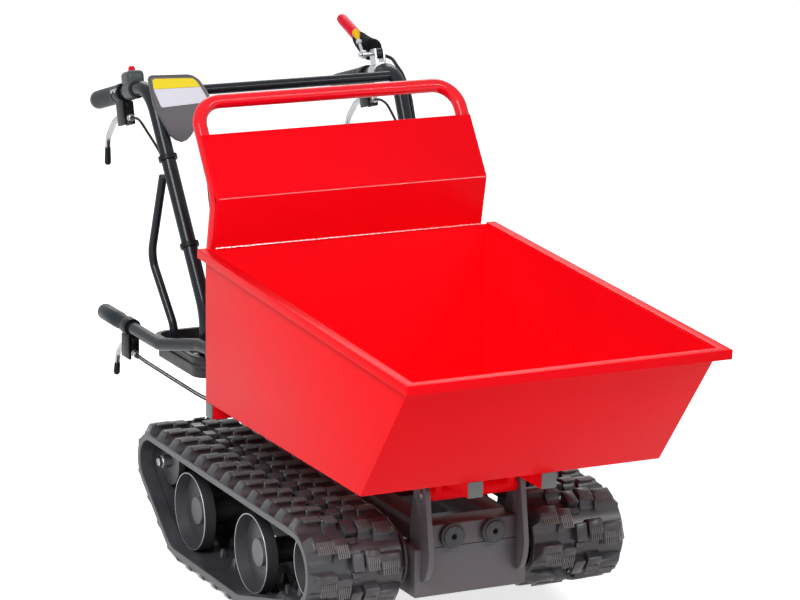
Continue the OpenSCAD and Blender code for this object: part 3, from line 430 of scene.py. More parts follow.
studio = {"floorSize": 60.0, "floorDrop": 0.0005, "floorTone": (0.9, 0.9, 0.9, 1), "floorRough": 0.9,
          "floorGloss": 0.1, "floorGlow": 0.75, "skyFill": 0.26, "white": (1, 1, 1, 1), "aim": (0, 0, 0.5)}
lamps = {"keyLamp": ((-3.2, -2.2, 3.6), (1.8, 1.8), 150.0),  # place, size and power
         "fillLamp": ((2.1, -3.7, 3.2), (2.6, 0.32), 60.0),
         "backLamp": ((1.5, 4.0, 3.2), (3.0, 2.0), 60.0)}
camera = {"place": (-2.7105, -5.7768, 2.0347), "turn": -26.04, "rise": 13.53, "roll": 0.65, "focal": 3572.8,
          "frameWide": 800, "sensor": 36.0, "shift": (-0.0041, 0.0012), "clipEnd": 200}

scene = bpy.context.scene
scene.view_settings.view_transform = "Standard"


# 1 for the rays that should meet a plain white surround
def cameraShare(wiring):
    share = wiring.node("ShaderNodeLightPath", {}, {}, "Is Camera Ray")
    for ray in ("Is Glossy Ray", "Is Transmission Ray"):
        share = share.blendWith(wiring.node("ShaderNodeLightPath", {}, {}, ray), "MAXIMUM")
    return share


def whiteSky():
    scene.world = bpy.data.worlds.new("softSky")
    scene.world.use_nodes = True
    wiring = Wiring(scene.world.node_tree)
    light = wiring.node("ShaderNodeBackground", {}, {"Color": studio["white"], "Strength": studio["skyFill"]})
    shown = wiring.node("ShaderNodeBackground", {}, {"Color": studio["white"], "Strength": 1.0})
    mix = wiring.node("ShaderNodeMixShader", {}, {0: cameraShare(wiring), 1: light, 2: shown})
    wiring.feed(wiring.tree.nodes["World Output"].inputs["Surface"], mix)


def paleFloor():
    calm()
    bpy.ops.mesh.primitive_plane_add(size=studio["floorSize"], location=(0, 0, -studio["floorDrop"]))
    floor = named("paleFloor")
    finish = Finish("paleFloor", {"Base Color": studio["floorTone"], "Roughness": studio["floorRough"],
                                  "Specular IOR Level": studio["floorGloss"]})
    matt = Flow(finish, finish.shader.outputs[0])
    glow = finish.node("ShaderNodeEmission", {}, {"Strength": studio["floorGlow"]})
    lit = finish.node("ShaderNodeAddShader", {}, {0: matt, 1: glow})
    seen = finish.node("ShaderNodeMixShader", {}, {0: cameraShare(finish), 1: matt, 2: lit})
    finish.feed(finish.tree.nodes["Material Output"].inputs["Surface"], seen)
    floor.data.materials.append(finish.material)


def softLamp(name, place, size, power):
    calm()
    bpy.ops.object.light_add(type="AREA", location=place)
    lamp = bpy.context.object
    lamp.name = name
    lamp.data.shape = "RECTANGLE"
    lamp.data.size, lamp.data.size_y = size
    lamp.data.energy = power
    lamp.rotation_euler = (Vector(studio["aim"]) - Vector(place)).to_track_quat("-Z", "Y").to_euler()


def photoCamera():
    bpy.ops.object.camera_add(location=at(*camera["place"]))
    shot = bpy.context.object
    a, e = radians(camera["turn"]), radians(camera["rise"])
    back = Vector((sin(a) * cos(e), -cos(a) * cos(e), sin(e)))
    level = (-back).to_track_quat("-Z", "Y").to_matrix().to_4x4()
    roll = Matrix.Rotation(radians(camera["roll"]), 4, "Z")
    shot.matrix_world = Matrix.Translation(at(*camera["place"])) @ level @ roll
    shot.data.sensor_width = camera["sensor"]
    shot.data.lens = camera["focal"] * camera["sensor"] / camera["frameWide"]
    shot.data.shift_x, shot.data.shift_y = camera["shift"]
    shot.data.clip_end = camera["clipEnd"]
    scene.camera = shot


whiteSky()
paleFloor()
for name, row in lamps.items():
    softLamp(name, *row)
photoCamera()
print("studio and camera ready")


# Bin: folded sheets with eased edges, weld beads and a smooth hoop

binSheets = {
    "bin_tub": ("binTub", 0.0014, redEnamel, "bin", "red_paint", 3),
    "bin_rim": ("binRim", 0.0012, redEnamel, "bin", "red_paint", 3),
    "bin_back_plate": ("binBackPlate", 0.0014, redEnamel, "bin", "red_paint", 3, 12),
    "bin_underframe": ("binUnderframe", 0.0015, redEnamel, "bin", "red_paint"),
    "tube_caps": ("tubeCaps", 0.0008, capPlastic, "bin", "cap_plastic"),
}
hoop = {"radius": 0.013, "halfWidth": 0.2622, "offset": 0.016127, "footZ": 0.56, "rimZ": 0.62, "foldZ": 0.714,
        "foldLean": 0.02, "barY": 0.10173, "barZ": 0.868, "lowBend": 0.06, "topBend": 0.048,
        "foldFront": -0.0224}
bead = {"radius": 0.0017, "step": 0.004, "swell": 0.22, "beat": 2.1, "inset": 0.004, "sink": 0.0035,
        "rise": 0.001, "foldRadius": 0.0012, "foldInset": 0.003, "foldRise": 0.0006}
legBead = {"radius": 0.0024, "steps": 24, "swell": 0.1, "inset": 0.0005, "proud": 0.0005, "rise": 0.004,
           "sink": 0.004, "topRise": 0.1035, "topLean": 0.071}


def weldBead(name, corners, radius, steps, swell):
    path = [a.lerp(b, k / steps) for a, b in zip(corners, corners[1:]) for k in range(steps)] + [corners[-1]]
    return tube(name, path, radius, roundness=2, swell=lambda k: 1 + swell * sin(bead["beat"] * k))


# Beads along the back plate's foot and its side edges, and a thin line along its fold; the foot bead and the
# fold line take a paler pink red, a painted highlight
def makeWelds():
    low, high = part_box("bin_back_plate")
    y, z = rearWall - bead["sink"], low.z + bead["rise"]
    foot = [Vector((low.x + bead["inset"], y, z)), Vector((high.x - bead["inset"], y, z))]
    steps = int((foot[1] - foot[0]).length / bead["step"])
    line = weldBead("backPlateWeld", foot, bead["radius"], steps, bead["swell"])
    settle(line, paintedHighlightRed, "bin", slot="red_paint")
    half, z = high.x - bead["foldInset"], hoop["foldZ"] + bead["foldRise"]
    fold = [at(side * half, hoop["foldFront"], z) for side in (-1, 1)]
    settle(tube("foldLine", fold, bead["foldRadius"], roundness=3), paintedHighlightRed, "bin", slot="red_paint")
    legs = []
    for x in (low.x + legBead["inset"], high.x - legBead["inset"]):
        y, z = rearWall + hoop["foldFront"] + legBead["sink"], hoop["foldZ"]
        corners = [Vector((x, rearWall + legBead["proud"], low.z + legBead["rise"])), Vector((x, y, z)),
                   Vector((x, y + legBead["topLean"], z + legBead["topRise"]))]
        legs.append(weldBead("legWeld", corners, legBead["radius"], legBead["steps"], legBead["swell"]))
    settle(joined("legWelds", legs), redEnamel, "bin", slot="red_paint")


def makeHoop():
    half = [(hoop["offset"], hoop["footZ"]), (hoop["offset"], hoop["rimZ"]),
            (hoop["offset"] - hoop["foldLean"], hoop["foldZ"]), (hoop["barY"], hoop["barZ"])]
    legs = [at(side * hoop["halfWidth"], y, z) for side, row in ((1, half), (-1, half[::-1])) for y, z in row]
    bends = [hoop["lowBend"]] * 2 + [hoop["topBend"]] * 2 + [hoop["lowBend"]] * 2
    piece = tube("binHoop", filleted(legs, bends), hoop["radius"], roundness=10)
    settle(piece, redGloss, "bin", "bin_hoop", slot="red_paint")


easeSheets(binSheets)
makeWelds()
makeHoop()
print("bin ready")


# Handlebar, braces and tipping handle: smooth bent tubes

bar = {"radius": 0.014, "footX": 0.235, "gripX": 0.255, "footY": 0.112, "footZ": 0.358, "kneeZ": 0.47,
       "bendY": 0.335, "bendZ": 0.862, "endY": 0.6, "endZ": 0.79, "kneeBend": 0.12, "topBend": 0.07,
       "lowBarShare": 0.912, "topBarRadius": 0.01, "lowBarRadius": 0.008}
gripFall = atan((bar["bendZ"] - bar["endZ"]) / (bar["endY"] - bar["bendY"]))


# Foot, knee, bend and end of one side tube
def barPoints(side):
    foot, top = side * bar["footX"], side * bar["gripX"]
    return [at(foot, bar["footY"], bar["footZ"]), at(foot, bar["footY"], bar["kneeZ"]),
            at(top, bar["bendY"], bar["bendZ"]), at(top, bar["endY"], bar["endZ"])]


def barRise(side):
    points = barPoints(side)
    return (points[2] - points[1]).normalized()


def onIncline(side, share):
    points = barPoints(side)
    return points[1].lerp(points[2], share)


# A place on a grip's tube, counted forward from its end
def onGrip(side, back, x=0.0, y=0.0, z=0.0):
    turn = Matrix.Rotation(-gripFall, 4, "X")
    return Matrix.Translation(barPoints(side)[3]) @ turn @ Matrix.Translation((x, y - back, z))


def barApex():
    points = barPoints(1)
    rise, fall = barRise(1), (points[3] - points[2]).normalized()
    half = rise.angle(fall) / 2
    return points[2] + (fall - rise).normalized() * bar["topBend"] * (1 / cos(half) - 1)


def crossBar(name, end, radius):
    return tube(name, [Vector((-end.x, end.y, end.z)), end], radius)


def makeHandlebar():
    bends = [bar["kneeBend"], bar["topBend"]]
    parts = [tube("barSide", filleted(barPoints(side), bends), bar["radius"], roundness=10)
             for side in (-1, 1)]
    parts.append(crossBar("topBar", barApex(), bar["topBarRadius"]))
    parts.append(crossBar("lowBar", onIncline(1, bar["lowBarShare"]), bar["lowBarRadius"]))
    settle(joined("handlebarTubes", parts), blackPowder, "chassis", "handlebar", slot="black_paint")


brace = {"radius": 0.008, "share": 0.59, "side": 0.01, "rise": 0.012, "kneeY": 0.068, "kneeZ": -0.155,
         "footOut": 0.011, "footY": 0.243, "footZ": 0.358, "upright": 0.06, "bend": 0.05, "gap": 0.0003}


def makeBraces():
    parts = []
    for side in (-1, 1):
        along = barRise(side)
        behind = Vector((0, along.z, -along.y))
        back = sqrt((bar["radius"] + brace["radius"] + brace["gap"]) ** 2 - brace["side"] ** 2)
        top = onIncline(side, brace["share"]) + Vector((side * brace["side"], 0, 0)) + behind * back
        foot = at(side * (bar["footX"] + brace["footOut"]), brace["footY"], brace["footZ"])
        path = [top + along * brace["rise"], top + Vector((0, brace["kneeY"], brace["kneeZ"])),
                foot + Vector((0, 0, brace["upright"])), foot]
        parts.append(tube("brace", filleted(path, [brace["bend"]] * 2), brace["radius"]))
    settle(joined("handleBraces", parts), blackPowder, "chassis", "handle_braces", slot="black_paint")


tip = {"radius": 0.012, "x": -0.289, "endY": 0.49, "z": 0.397, "wall": (-0.262, 0, 0.428),
       "start": (-0.262, 0.0015, 0.428), "pass": (-0.266, 0.075, 0.424), "kneeY": 0.208,
       "bends": (0.06, 0.07), "flangeRadius": 0.022, "flangeThick": 0.0055, "flangeEase": 0.001}


def makeTipHandle():
    run = [at(*tip["start"]), at(*tip["pass"]), at(tip["x"], tip["kneeY"], tip["z"]),
           at(tip["x"], tip["endY"], tip["z"])]
    pipe = tube("tipPipe", filleted(run, tip["bends"]), tip["radius"], roundness=10)
    r, t, ease = tip["flangeRadius"], tip["flangeThick"], tip["flangeEase"]
    flange = turned("tipFlange", [(0, r), (t - ease, r), (t, r - ease)], at(*tip["wall"]), (0, 1, 0))
    settle(joined("tipHandle", [pipe, flange]), blackPowder, "bin", "tip_handle", slot="black_paint")


makeHandlebar()
makeBraces()
makeTipHandle()
print("tubes ready")


# Rubber grips: ribbed on the handlebar, stepped on the tipping handle

grip = {"length": 0.112, "thick": 0.004, "rib": 0.0055, "groove": 0.0016,
        "grooveSteps": (0.0006, 0.0018, 0.0024), "collar": 0.009, "mouthHigh": 0.0015, "mouthIn": 0.002,
        "plain": 0.012, "noseHigh": 0.0035, "noseIn": 0.003, "sides": 40}
# Steps of the tipping handle's grip: how far along, and how far in from its outside
tipSleeve = {"front": ((0, 0.0022), (0.002, 0.0012), (0.03, 0.0012), (0.032, 0)),
             "rear": ((-0.004, 0), (0, 0.001), (0.003, 0.004)),
             "ringProud": 0.0006, "ringWide": 0.003, "ringGap": 0.004}


def ribbedGrip(name, tubeRadius, spot):
    outer, length = tubeRadius + grip["thick"], grip["length"]
    down, along, up = grip["grooveSteps"]
    deep = outer - grip["groove"]
    profile = [(0, outer - grip["mouthIn"]), (grip["mouthHigh"], outer), (grip["collar"], outer)]
    z = grip["collar"]
    while z < length - grip["plain"]:
        profile += [(z + down, deep), (z + along, deep), (z + up, outer), (z + grip["rib"], outer)]
        z += grip["rib"]
    profile += [(length, outer), (length + grip["noseHigh"], outer - grip["noseIn"])]
    return settleShape(turned(name, profile, sides=grip["sides"]), spot)


def makeGrips():
    length = grip["length"]
    backward = Matrix.Rotation(radians(-90), 4, "X")
    parts = [ribbedGrip("handGrip", bar["radius"], onGrip(side, length) @ backward) for side in (-1, 1)]
    settle(joined("handGrips", parts), gripRubber, "chassis", "hand_grips", slot="grip_rubber")
    outer, begin = tip["radius"] + grip["thick"], tip["endY"] - length
    steps = [(z, outer - inward) for z, inward in tipSleeve["front"]]
    steps += [(length + z, outer - inward) for z, inward in tipSleeve["rear"]]
    start = Matrix.Translation(at(tip["x"], begin, tip["z"])) @ backward
    piece = settleShape(turned("tipGrip", steps, sides=grip["sides"]), start)
    settle(piece, gripRubber, "bin", "tip_grip", slot="grip_rubber")
    radius = tip["radius"] + tipSleeve["ringProud"]
    ring = turned("tipRing", [(0, radius), (tipSleeve["ringWide"], radius)],
                  at(tip["x"], begin - tipSleeve["ringGap"], tip["z"]), (0, 1, 0), grip["sides"])
    settle(ring, brightAlloy, "bin", slot="zinc_steel")


makeGrips()
print("grips ready")


# Rubber tracks: one straight stretch of tread per pitch, repeated and bent round the wheels' loop

track = {"belt": 0.01, "lugHeight": 0.019, "lugPitch": 0.06, "phase": 0.36, "centrePhase": 0.58,
         "hornPhase": 0.25, "wheelGap": 0.0003, "pathSteps": 580, "bendSteps": 6, "jog": 0.004,
         "ease": 0.0014, "split": 0.042, "lap": 0.001, "inner": 0.0145, "outer": 0.0885,
         "topOuter": 0.0765, "merge": 0.00004}
lugRib = {"pitch": 0.0038, "wide": 0.0018, "front": -0.0098, "back": 0.0088, "deep": 0.003, "inset": 0.002}
centreBlock = {"top": 0.0155, "root": 0.002, "long": (-0.014, 0.014), "wide": (-0.011, 0.0105),
               "ease": 0.0022, "segments": 2}
centreToe = {"top": 0.005, "root": 0.002, "long": (-0.028, -0.0165), "wide": (-0.009, 0.0085),
             "ease": 0.0012, "segments": 1}
horn = {"high": 0.016, "inner": 0.015, "wide": 0.015, "long": 0.016, "sink": 0.003, "taper": 0.5,
        "ease": 0.0018}
beltSection = [(0.0885, 0), (0.09, -0.0015), (0.09, -0.0115), (0.0885, -0.013), (0.063, -0.013),
               (0.0618, -0.012), (0.0615, -0.01)]
lugSide = [(-0.027, -0.001), (-0.017, 0.0045), (-0.0125, 0.012), (-0.0105, 0.0178), (0.0095, 0.0178),
           (0.0125, 0.014), (0.0155, -0.001)]


# Axle's y and z, and the radius at which the belt runs
def wheelCircle(name):
    spot = joints[name + "_right_spin"]["pos_m"]
    low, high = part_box(name + "_right")
    return spot[1], spot[2], (high.z - low.z) / 2 + track["wheelGap"]


class TrackLoop:
    def __init__(self):
        self.wheels = [wheelCircle(name) for name in ("front_roller", "rear_roller", "sprocket", "idler")]
        self.centre = joints["idler_right_spin"]["pos_m"][0]
        count = len(self.wheels)
        self.headings, straights = [], []
        for i in range(count):
            (y0, z0, r0), (y1, z1, r1) = self.wheels[i], self.wheels[(i + 1) % count]
            gap = hypot(y1 - y0, z1 - z0)
            self.headings.append(atan2(z1 - z0, y1 - y0) - asin((r1 - r0) / gap))
            straights.append(sqrt(gap ** 2 - (r1 - r0) ** 2))
        self.pieces = []
        for i in range(count):
            wheel = self.wheels[(i + 1) % count]
            turn = (self.headings[(i + 1) % count] - self.headings[i]) % (2 * pi)
            self.pieces.append(("straight", i, straights[i]))
            self.pieces.append(("arc", i, (wheel[2] + track["belt"]) * turn))
        self.length = sum(piece[2] for piece in self.pieces)

    def onWheel(self, wheel, turn, out):
        y, z, r = wheel
        return y + (r + out) * sin(turn), z - (r + out) * cos(turn)

    # The point at length s along the loop, out from the wheels
    def spot(self, s, out):
        for kind, i, length in self.pieces:
            if s <= length:
                break
            s -= length
        turn = self.headings[i]
        if kind == "arc":
            wheel = self.wheels[(i + 1) % len(self.wheels)]
            return self.onWheel(wheel, turn + s / (wheel[2] + track["belt"]), out)
        y, z = self.onWheel(self.wheels[i], turn, out)
        return y + s * cos(turn), z + s * sin(turn)


loop = TrackLoop()
lugCount = round(loop.length / track["lugPitch"])
pitch = loop.length / lugCount
tileTurn = Matrix(((0, 0, 1, 0), (0, -1, 0, 0), (1, 0, 0, 0), (0, 0, 0, 1)))


def loopPath(start):
    count, whole = track["pathSteps"], loop.length
    spots = [loop.spot((start + k * whole / count) % whole, track["belt"]) for k in range(count)]
    path, spline = polyPath("loopPath", [(*spot, 0) for spot in spots])
    path.data.dimensions = "2D"
    spline.use_cyclic_u = True
    return path


def repeated(piece, count, step):
    return modify(piece, "ARRAY", count=count, use_relative_offset=False, use_constant_offset=True,
                  constant_offset_displace=step)


# One tile of tread laid round the whole loop, phase pitches from its start
def roundLoop(tile, phase):
    spread = [vertex.co.x for vertex in tile.data.vertices]
    shift = (pitch - min(spread) - max(spread)) / 2
    settleShape(tile, Matrix.Translation((shift, 0, 0)) @ Matrix.Rotation(pi, 4, "X"))
    repeated(tile, lugCount, (pitch, 0, 0))
    path = loopPath(phase * pitch - shift)
    modify(tile, "CURVE", object=path, deform_axis="POS_X")
    only(path)
    bpy.ops.object.delete()
    return settleShape(tile, acrossTurn)


def beltTile():
    piece = sketch("beltTile", beltSection + [(-x, y) for x, y in beltSection[::-1]], "NOTHING")
    edit(piece, "EDGE")
    step = (0, 0, pitch / track["bendSteps"])
    for k in range(track["bendSteps"]):
        bpy.ops.mesh.extrude_region_move(TRANSFORM_OT_translate={"value": step})
    calm()
    return settleShape(piece, tileTurn)


def lugBlock(name, low, high, jog, trimmed=False):
    piece = plate(name, [(x + jog, -y) for x, y in lugSide], high - low, Matrix.Translation((0, 0, low)))
    if trimmed:  # the outer end leans inwards
        edit(piece)
        lean = track["outer"] - track["topOuter"]
        bpy.ops.mesh.bisect(plane_co=(0, 0, track["outer"]), plane_no=(0, -lean, track["lugHeight"]),
                            use_fill=True, clear_outer=True)
        calm()
    return soften(piece, track["ease"], 1, 24)


def lugRibs(low, high, jog):
    low, top = low + lugRib["inset"], track["lugHeight"]
    rib = block("lugRib", (jog + lugRib["front"], -top, low),
                (jog + lugRib["back"], -top + lugRib["deep"], low + lugRib["wide"]))
    return repeated(rib, int((high - low) / lugRib["pitch"]), (0, 0, lugRib["pitch"]))


def sided(name, parts, side):
    return settleShape(joined(name, parts), Matrix.Scale(side, 4, (0, 0, 1)))


def lugTile(side):
    inner, split, jog = track["inner"], track["split"], track["jog"] * side
    parts = [lugBlock("lugOuter", split - track["lap"], track["outer"], jog, True),
             lugBlock("lugInner", inner, split, -jog)]
    return sided("lugTile", parts, side)


def ribTile(side):
    inner, split, jog = track["inner"], track["split"], track["jog"] * side
    return sided("ribTile", [lugRibs(split, track["topOuter"], jog), lugRibs(inner, split, -jog)], side)


def centreTile():
    parts = []
    for size in (centreBlock, centreToe):
        (front, back), (left, right) = size["long"], size["wide"]
        part = block("centrePart", (front, -size["top"], left), (back, size["root"], right))
        parts.append(soften(part, size["ease"], size["segments"]))
    return joined("centreTile", parts)


def hornTile():
    half, long, tall = horn["wide"] / 2, horn["long"] / 2, track["belt"] + horn["high"]
    horns = []
    for side in (-1, 1):
        middle = side * (horn["inner"] + half)
        guide = block("guideHorn", (-long, track["belt"] - horn["sink"], middle - half),
                      (long, tall, middle + half))
        edit(guide)
        pickFacing(guide, 1)
        bpy.ops.transform.resize(value=(horn["taper"], 1, horn["taper"]), center_override=(0, tall, middle))
        calm()
        horns.append(soften(guide, horn["ease"], 1, 20))
    return joined("hornTile", horns)


def closed(piece, side):
    edit(piece, "VERT")
    bpy.ops.mesh.remove_doubles(threshold=track["merge"])
    bpy.ops.mesh.normals_make_consistent(inside=False)
    calm()
    return settleShape(smooth(piece, 38), Matrix.Translation((side * abs(loop.centre), 0, 0)))


def makeTrack(side, name):
    first = track["phase"]
    second = first + 0.5  # the two rows of lugs stand half a pitch apart
    parts = [roundLoop(beltTile(), 0), roundLoop(lugTile(1), first), roundLoop(lugTile(-1), second),
             roundLoop(centreTile(), first + track["centrePhase"]),
             roundLoop(hornTile(), first + track["hornPhase"])]
    tread = closed(joined(name + "Rubber", parts), side)
    settle(tread, trackRubber, "chassis", name, slot="track_rubber")
    # The ribs take the paler rubber: a painted highlight on the lug tops
    ribs = closed(joined(name + "Ribs", [roundLoop(ribTile(1), first), roundLoop(ribTile(-1), second)]), side)
    settle(ribs, paintedHighlightRubber, "chassis", slot="track_rubber")


makeTrack(-1, "track_right")
makeTrack(1, "track_left")
print("tracks ready")


# Wheels: a worn bright ring on each rim, and the carriers' webs between them

rim = {"wire": 0.0011, "inset": 0.0015, "sink": 0.0007}


def makeRims():
    for name in ("front_roller", "rear_roller", "idler"):
        for side in ("right", "left"):
            node = name + "_" + side
            low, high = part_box(node)
            middle, radius = (low + high) / 2, (high.z - low.z) / 2 - rim["inset"]
            rings = []
            for x in (low.x + rim["sink"], high.x - rim["sink"]):
                calm()
                bpy.ops.mesh.primitive_torus_add(
                    major_radius=radius, minor_radius=rim["wire"], major_segments=64, minor_segments=8,
                    location=(x, middle.y, middle.z), rotation=(0, pi / 2, 0))
                rings.append(smooth(settleShape(named("rimRing")), 60))
            settle(joined(node + "Rims", rings), wornEdge, node, slot="zinc_steel")


web = {"thick": 0.006, "inset": 0.002, "steps": 8, "ease": 0.001,
       "corners": (("sprocket", 0.05, -50, 90), ("idler", 0.054, 90, 230),  # radius, first and last degree
                   ("front_roller", 0.06, 230, 270), ("rear_roller", 0.06, 270, 310))}


def makeWebs():
    outline = []
    for name, radius, first, last in web["corners"]:
        y, z = wheelCircle(name)[:2]
        for k in range(web["steps"] + 1):
            a = radians(first + (last - first) * k / web["steps"])
            outline.append((y + radius * cos(a), z + radius * sin(a)))
    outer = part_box("track_frames")[1].x - web["inset"]
    parts = [plate("carrierWeb", outline, web["thick"], Matrix.Translation((x, 0, 0)) @ acrossTurn)
             for x in (-outer, outer - web["thick"])]
    settle(soften(joined("carrierWebs", parts), web["ease"]), greyPowder, "chassis", slot="dark_paint")


makeRims()
makeWebs()
print("wheels ready")


# Dash: a lipped panel with two bare colour plates

dash = {"share": 0.86, "base": 0.0143, "deep": 0.0055, "lip": 0.0036, "lipHigh": 0.003, "ease": 0.0008,
        "lift": 0.0169, "thick": 0.0006, "plateEase": 0.0002}
dashOutline = [(-0.264, 0.07), (-0.261, 0.0745), (-0.256, 0.076), (-0.184, 0.073), (-0.173, 0.0695),
               (-0.163, 0.061), (-0.155, 0.046), (-0.1475, 0.024), (-0.146, 0.016), (-0.202, -0.048),
               (-0.211, -0.055), (-0.222, -0.058), (-0.233, -0.053), (-0.244, -0.042), (-0.264, 0.018)]
yellowOutline = [(-0.2565, 0.049), (-0.1625, 0.0475), (-0.169, 0.06), (-0.1755, 0.0655), (-0.251, 0.0695),
                 (-0.2555, 0.067)]
whiteOutline = [(-0.249, 0.014), (-0.2465, 0.012), (-0.153, 0.016), (-0.1525, 0.021), (-0.1625, 0.047),
                (-0.2565, 0.0485)]


def dashSpot(lift):
    points = barPoints(-1)
    base = onIncline(-1, dash["share"])
    rise = Matrix.Rotation(atan2(points[2].z - points[1].z, points[2].y - points[1].y), 4, "X")
    return Matrix.Translation((0, base.y, base.z)) @ rise @ Matrix.Translation((0, 0, lift))


def makeDash():
    panel = plate("dashPanel", dashOutline, dash["deep"])
    edit(panel)
    pickFacing(panel, 2)
    bpy.ops.mesh.inset(thickness=dash["lip"])
    bpy.ops.transform.translate(value=(0, 0, -dash["lipHigh"]))
    calm()
    settleShape(soften(panel, dash["ease"]), dashSpot(dash["base"]))
    settle(panel, greyPowder, "chassis", "dash_panel", slot="dark_paint")


def dashPlate(name, outline, finish):
    piece = plate(name, outline, dash["thick"], dashSpot(dash["lift"]))
    settle(soften(piece, dash["plateEase"], 1), finish, "chassis")


makeDash()
dashPlate("dashYellowBand", yellowOutline, labelYellow)
dashPlate("dashWhiteField", whiteOutline, labelWhite)
print("dash ready")


# Levers: bent blades with sleeves, and their housings, cable adjusters and clamp screws

lever = {"wide": 0.0088, "hub": 0.009, "root": 0.0055, "end": 0.0034, "ease": 0.0012, "pivotY": 0.002,
         "pivotDrop": 0.024, "bend": 0.036, "bendStep": 6,
         "steerReach": ((0.06, -0.012), (0.105, -0.038), (0.118, -0.084)), "steerBack": 0.134,
         "tipReach": ((0.05, -0.012), (0.085, -0.037), (0.096, -0.096)), "tipBack": 0.132, "tipSize": 0.72}
sleeve = {"long": 0.036, "past": 0.005, "end": 0.0045, "shoulder": 0.004, "slim": 0.0056, "full": 0.0064}
leverBody = {"gap": 0.0053, "wide": 0.0105, "front": -0.021, "back": 0.02, "top": -0.004, "low": -0.048,
             "wall": 0.005, "faceRise": 0.012, "ease": 0.0016, "ribs": 3, "ribStart": 0.015, "ribStep": 0.007,
             "ribHalf": 0.006, "ribProud": 0.0012, "ribSink": 0.001, "ribHigh": 0.0028,
             "adjuster": ((-0.0185, 0.0345), (-0.0325, 0.0372))}  # its two ends: y, and drop below the tube
adjusterSteps = [(0, 0.0066), (0.004, 0.0066), (0.0045, 0.0052), (0.0065, 0.0052), (0.007, 0.0062),
                 (0.0115, 0.0062), (0.0125, 0.0048), (0.0145, 0.0048)]
boltSteps = [(0, 1.4), (0.25, 1.4), (0.3, 1), (1.0, 1), (1.15, 0.8)]  # flange and head, in bolt sizes
clampScrew = {"size": 0.004, "out": 0.017, "rise": 0.004, "along": (-0.007, 0.009)}


# The blade's outline: its path offset to both sides, slimmer towards the end
def bladeOutline(path):
    rows = []
    for side in (1, -1):
        row = []
        for i, point in enumerate(path):
            before, after = path[max(i - 1, 0)], path[min(i + 1, len(path) - 1)]
            along = (after - before).normalized()
            half = lever["root"] + (lever["end"] - lever["root"]) * i / (len(path) - 1)
            row.append((point.y - side * along.z * half, point.z + side * along.y * half))
        rows.append(row)
    return rows[0] + rows[1][::-1]


def bladeLever(name, spot, tubeRadius, size, body, shape):
    pivot = Vector((0, lever["pivotY"], -tubeRadius - lever["pivotDrop"]))
    reach = [pivot + Vector((0, y, z)) * size for y, z in ((0, 0), *lever[shape])]
    path = filleted(reach, [lever["bend"] * size] * 2, lever["bendStep"])
    wide, hub = lever["wide"], lever["hub"]
    flat = plate(name, bladeOutline(path), wide, acrossTurn @ Matrix.Translation((0, 0, -wide / 2)))
    eye = turned("leverEye", [(0, hub), (wide, hub)], pivot - Vector((wide / 2, 0, 0)), (1, 0, 0))
    piece = joined(name, [soften(flat, lever["ease"]), eye])
    settle(settleShape(piece, spot), brightAlloy, body, body, slot="zinc_steel")
    end, along, long = reach[-1], (reach[-1] - path[-2]).normalized(), sleeve["long"] * size
    steps = [(0, sleeve["end"]), (sleeve["shoulder"], sleeve["slim"]),
             (long - sleeve["shoulder"], sleeve["full"]), (long, sleeve["end"])]
    cover = turned(name + "Sleeve", steps, end - along * (long - sleeve["past"]), along, 20)
    settle(settleShape(cover, spot), blackPlastic, body, slot="grip_rubber")


def adjuster(name, spot, tubeRadius, body):
    start, end = (Vector((0, y, -tubeRadius - drop)) for y, drop in leverBody["adjuster"])
    piece = turned(name, adjusterSteps, start, end - start, 16)
    settle(settleShape(piece, spot), zincSteel, body, slot="zinc_steel")


def boltHead(name, spot, size, body):
    piece = turned(name, [(size * z, size * r) for z, r in boltSteps], sides=6)
    settle(settleShape(piece, spot), zincSteel, body, slot="zinc_steel")


def leverHousing(name, spot, tubeRadius, body):
    q = leverBody
    top, low, front, wide = q["top"] - tubeRadius, q["low"] - tubeRadius, q["front"], q["wide"]
    parts = [block("cheek", (side * q["gap"], front, low), (side * wide, q["back"], top)) for side in (-1, 1)]
    parts.append(block("face", (-wide, front, low + q["faceRise"]), (wide, front + q["wall"], top)))
    for part in parts:
        soften(part, q["ease"])
    for k in range(q["ribs"]):
        z = low + q["ribStart"] + q["ribStep"] * k
        parts.append(block("faceRib", (-q["ribHalf"], front - q["ribProud"], z),
                           (q["ribHalf"], front + q["ribSink"], z + q["ribHigh"])))
    settle(settleShape(joined(name, parts), spot), blackPlastic, body, slot="black_plastic")


def leverSet(names, spot, tubeRadius, size, body, holder, shape):
    bladeLever(names % "Blade", spot, tubeRadius, size, body, shape)
    adjuster(names % "Adjuster", spot, tubeRadius, holder)
    leverHousing(names % "Housing", spot, tubeRadius, holder)


def makeSteering(side, name):
    back, q = lever["steerBack"], clampScrew
    leverSet("steer%s_" + name, onGrip(side, back), bar["radius"], 1, "steer_lever_" + name, "chassis",
             "steerReach")
    outward = Matrix.Rotation(radians(90 * side), 4, "Y")
    for k, y in enumerate(q["along"]):
        spot = onGrip(side, back, q["out"] * side, y, q["rise"]) @ outward
        boltHead("steerScrew%d_%s" % (k, name), spot, q["size"], "chassis")


def makeTipLever():
    spot = Matrix.Translation(at(tip["x"], tip["endY"] - lever["tipBack"], tip["z"]))
    leverSet("tip%s", spot, tip["radius"], lever["tipSize"], "tip_lever", "bin", "tipReach")


makeSteering(-1, "right")
makeSteering(1, "left")
makeTipLever()
print("levers ready")


# Switch box, the drive lever's boot and grip, and the throttle

switchBox = {"back": 0.19, "half": (0.017, 0.022), "low": 0.008, "top": 0.0358, "ease": 0.0085,
             "ring": 0.0182, "ringLength": 0.034, "collar": 0.0082, "collarHigh": 0.0022, "collarIn": 0.0006,
             "collarSink": 0.0008}


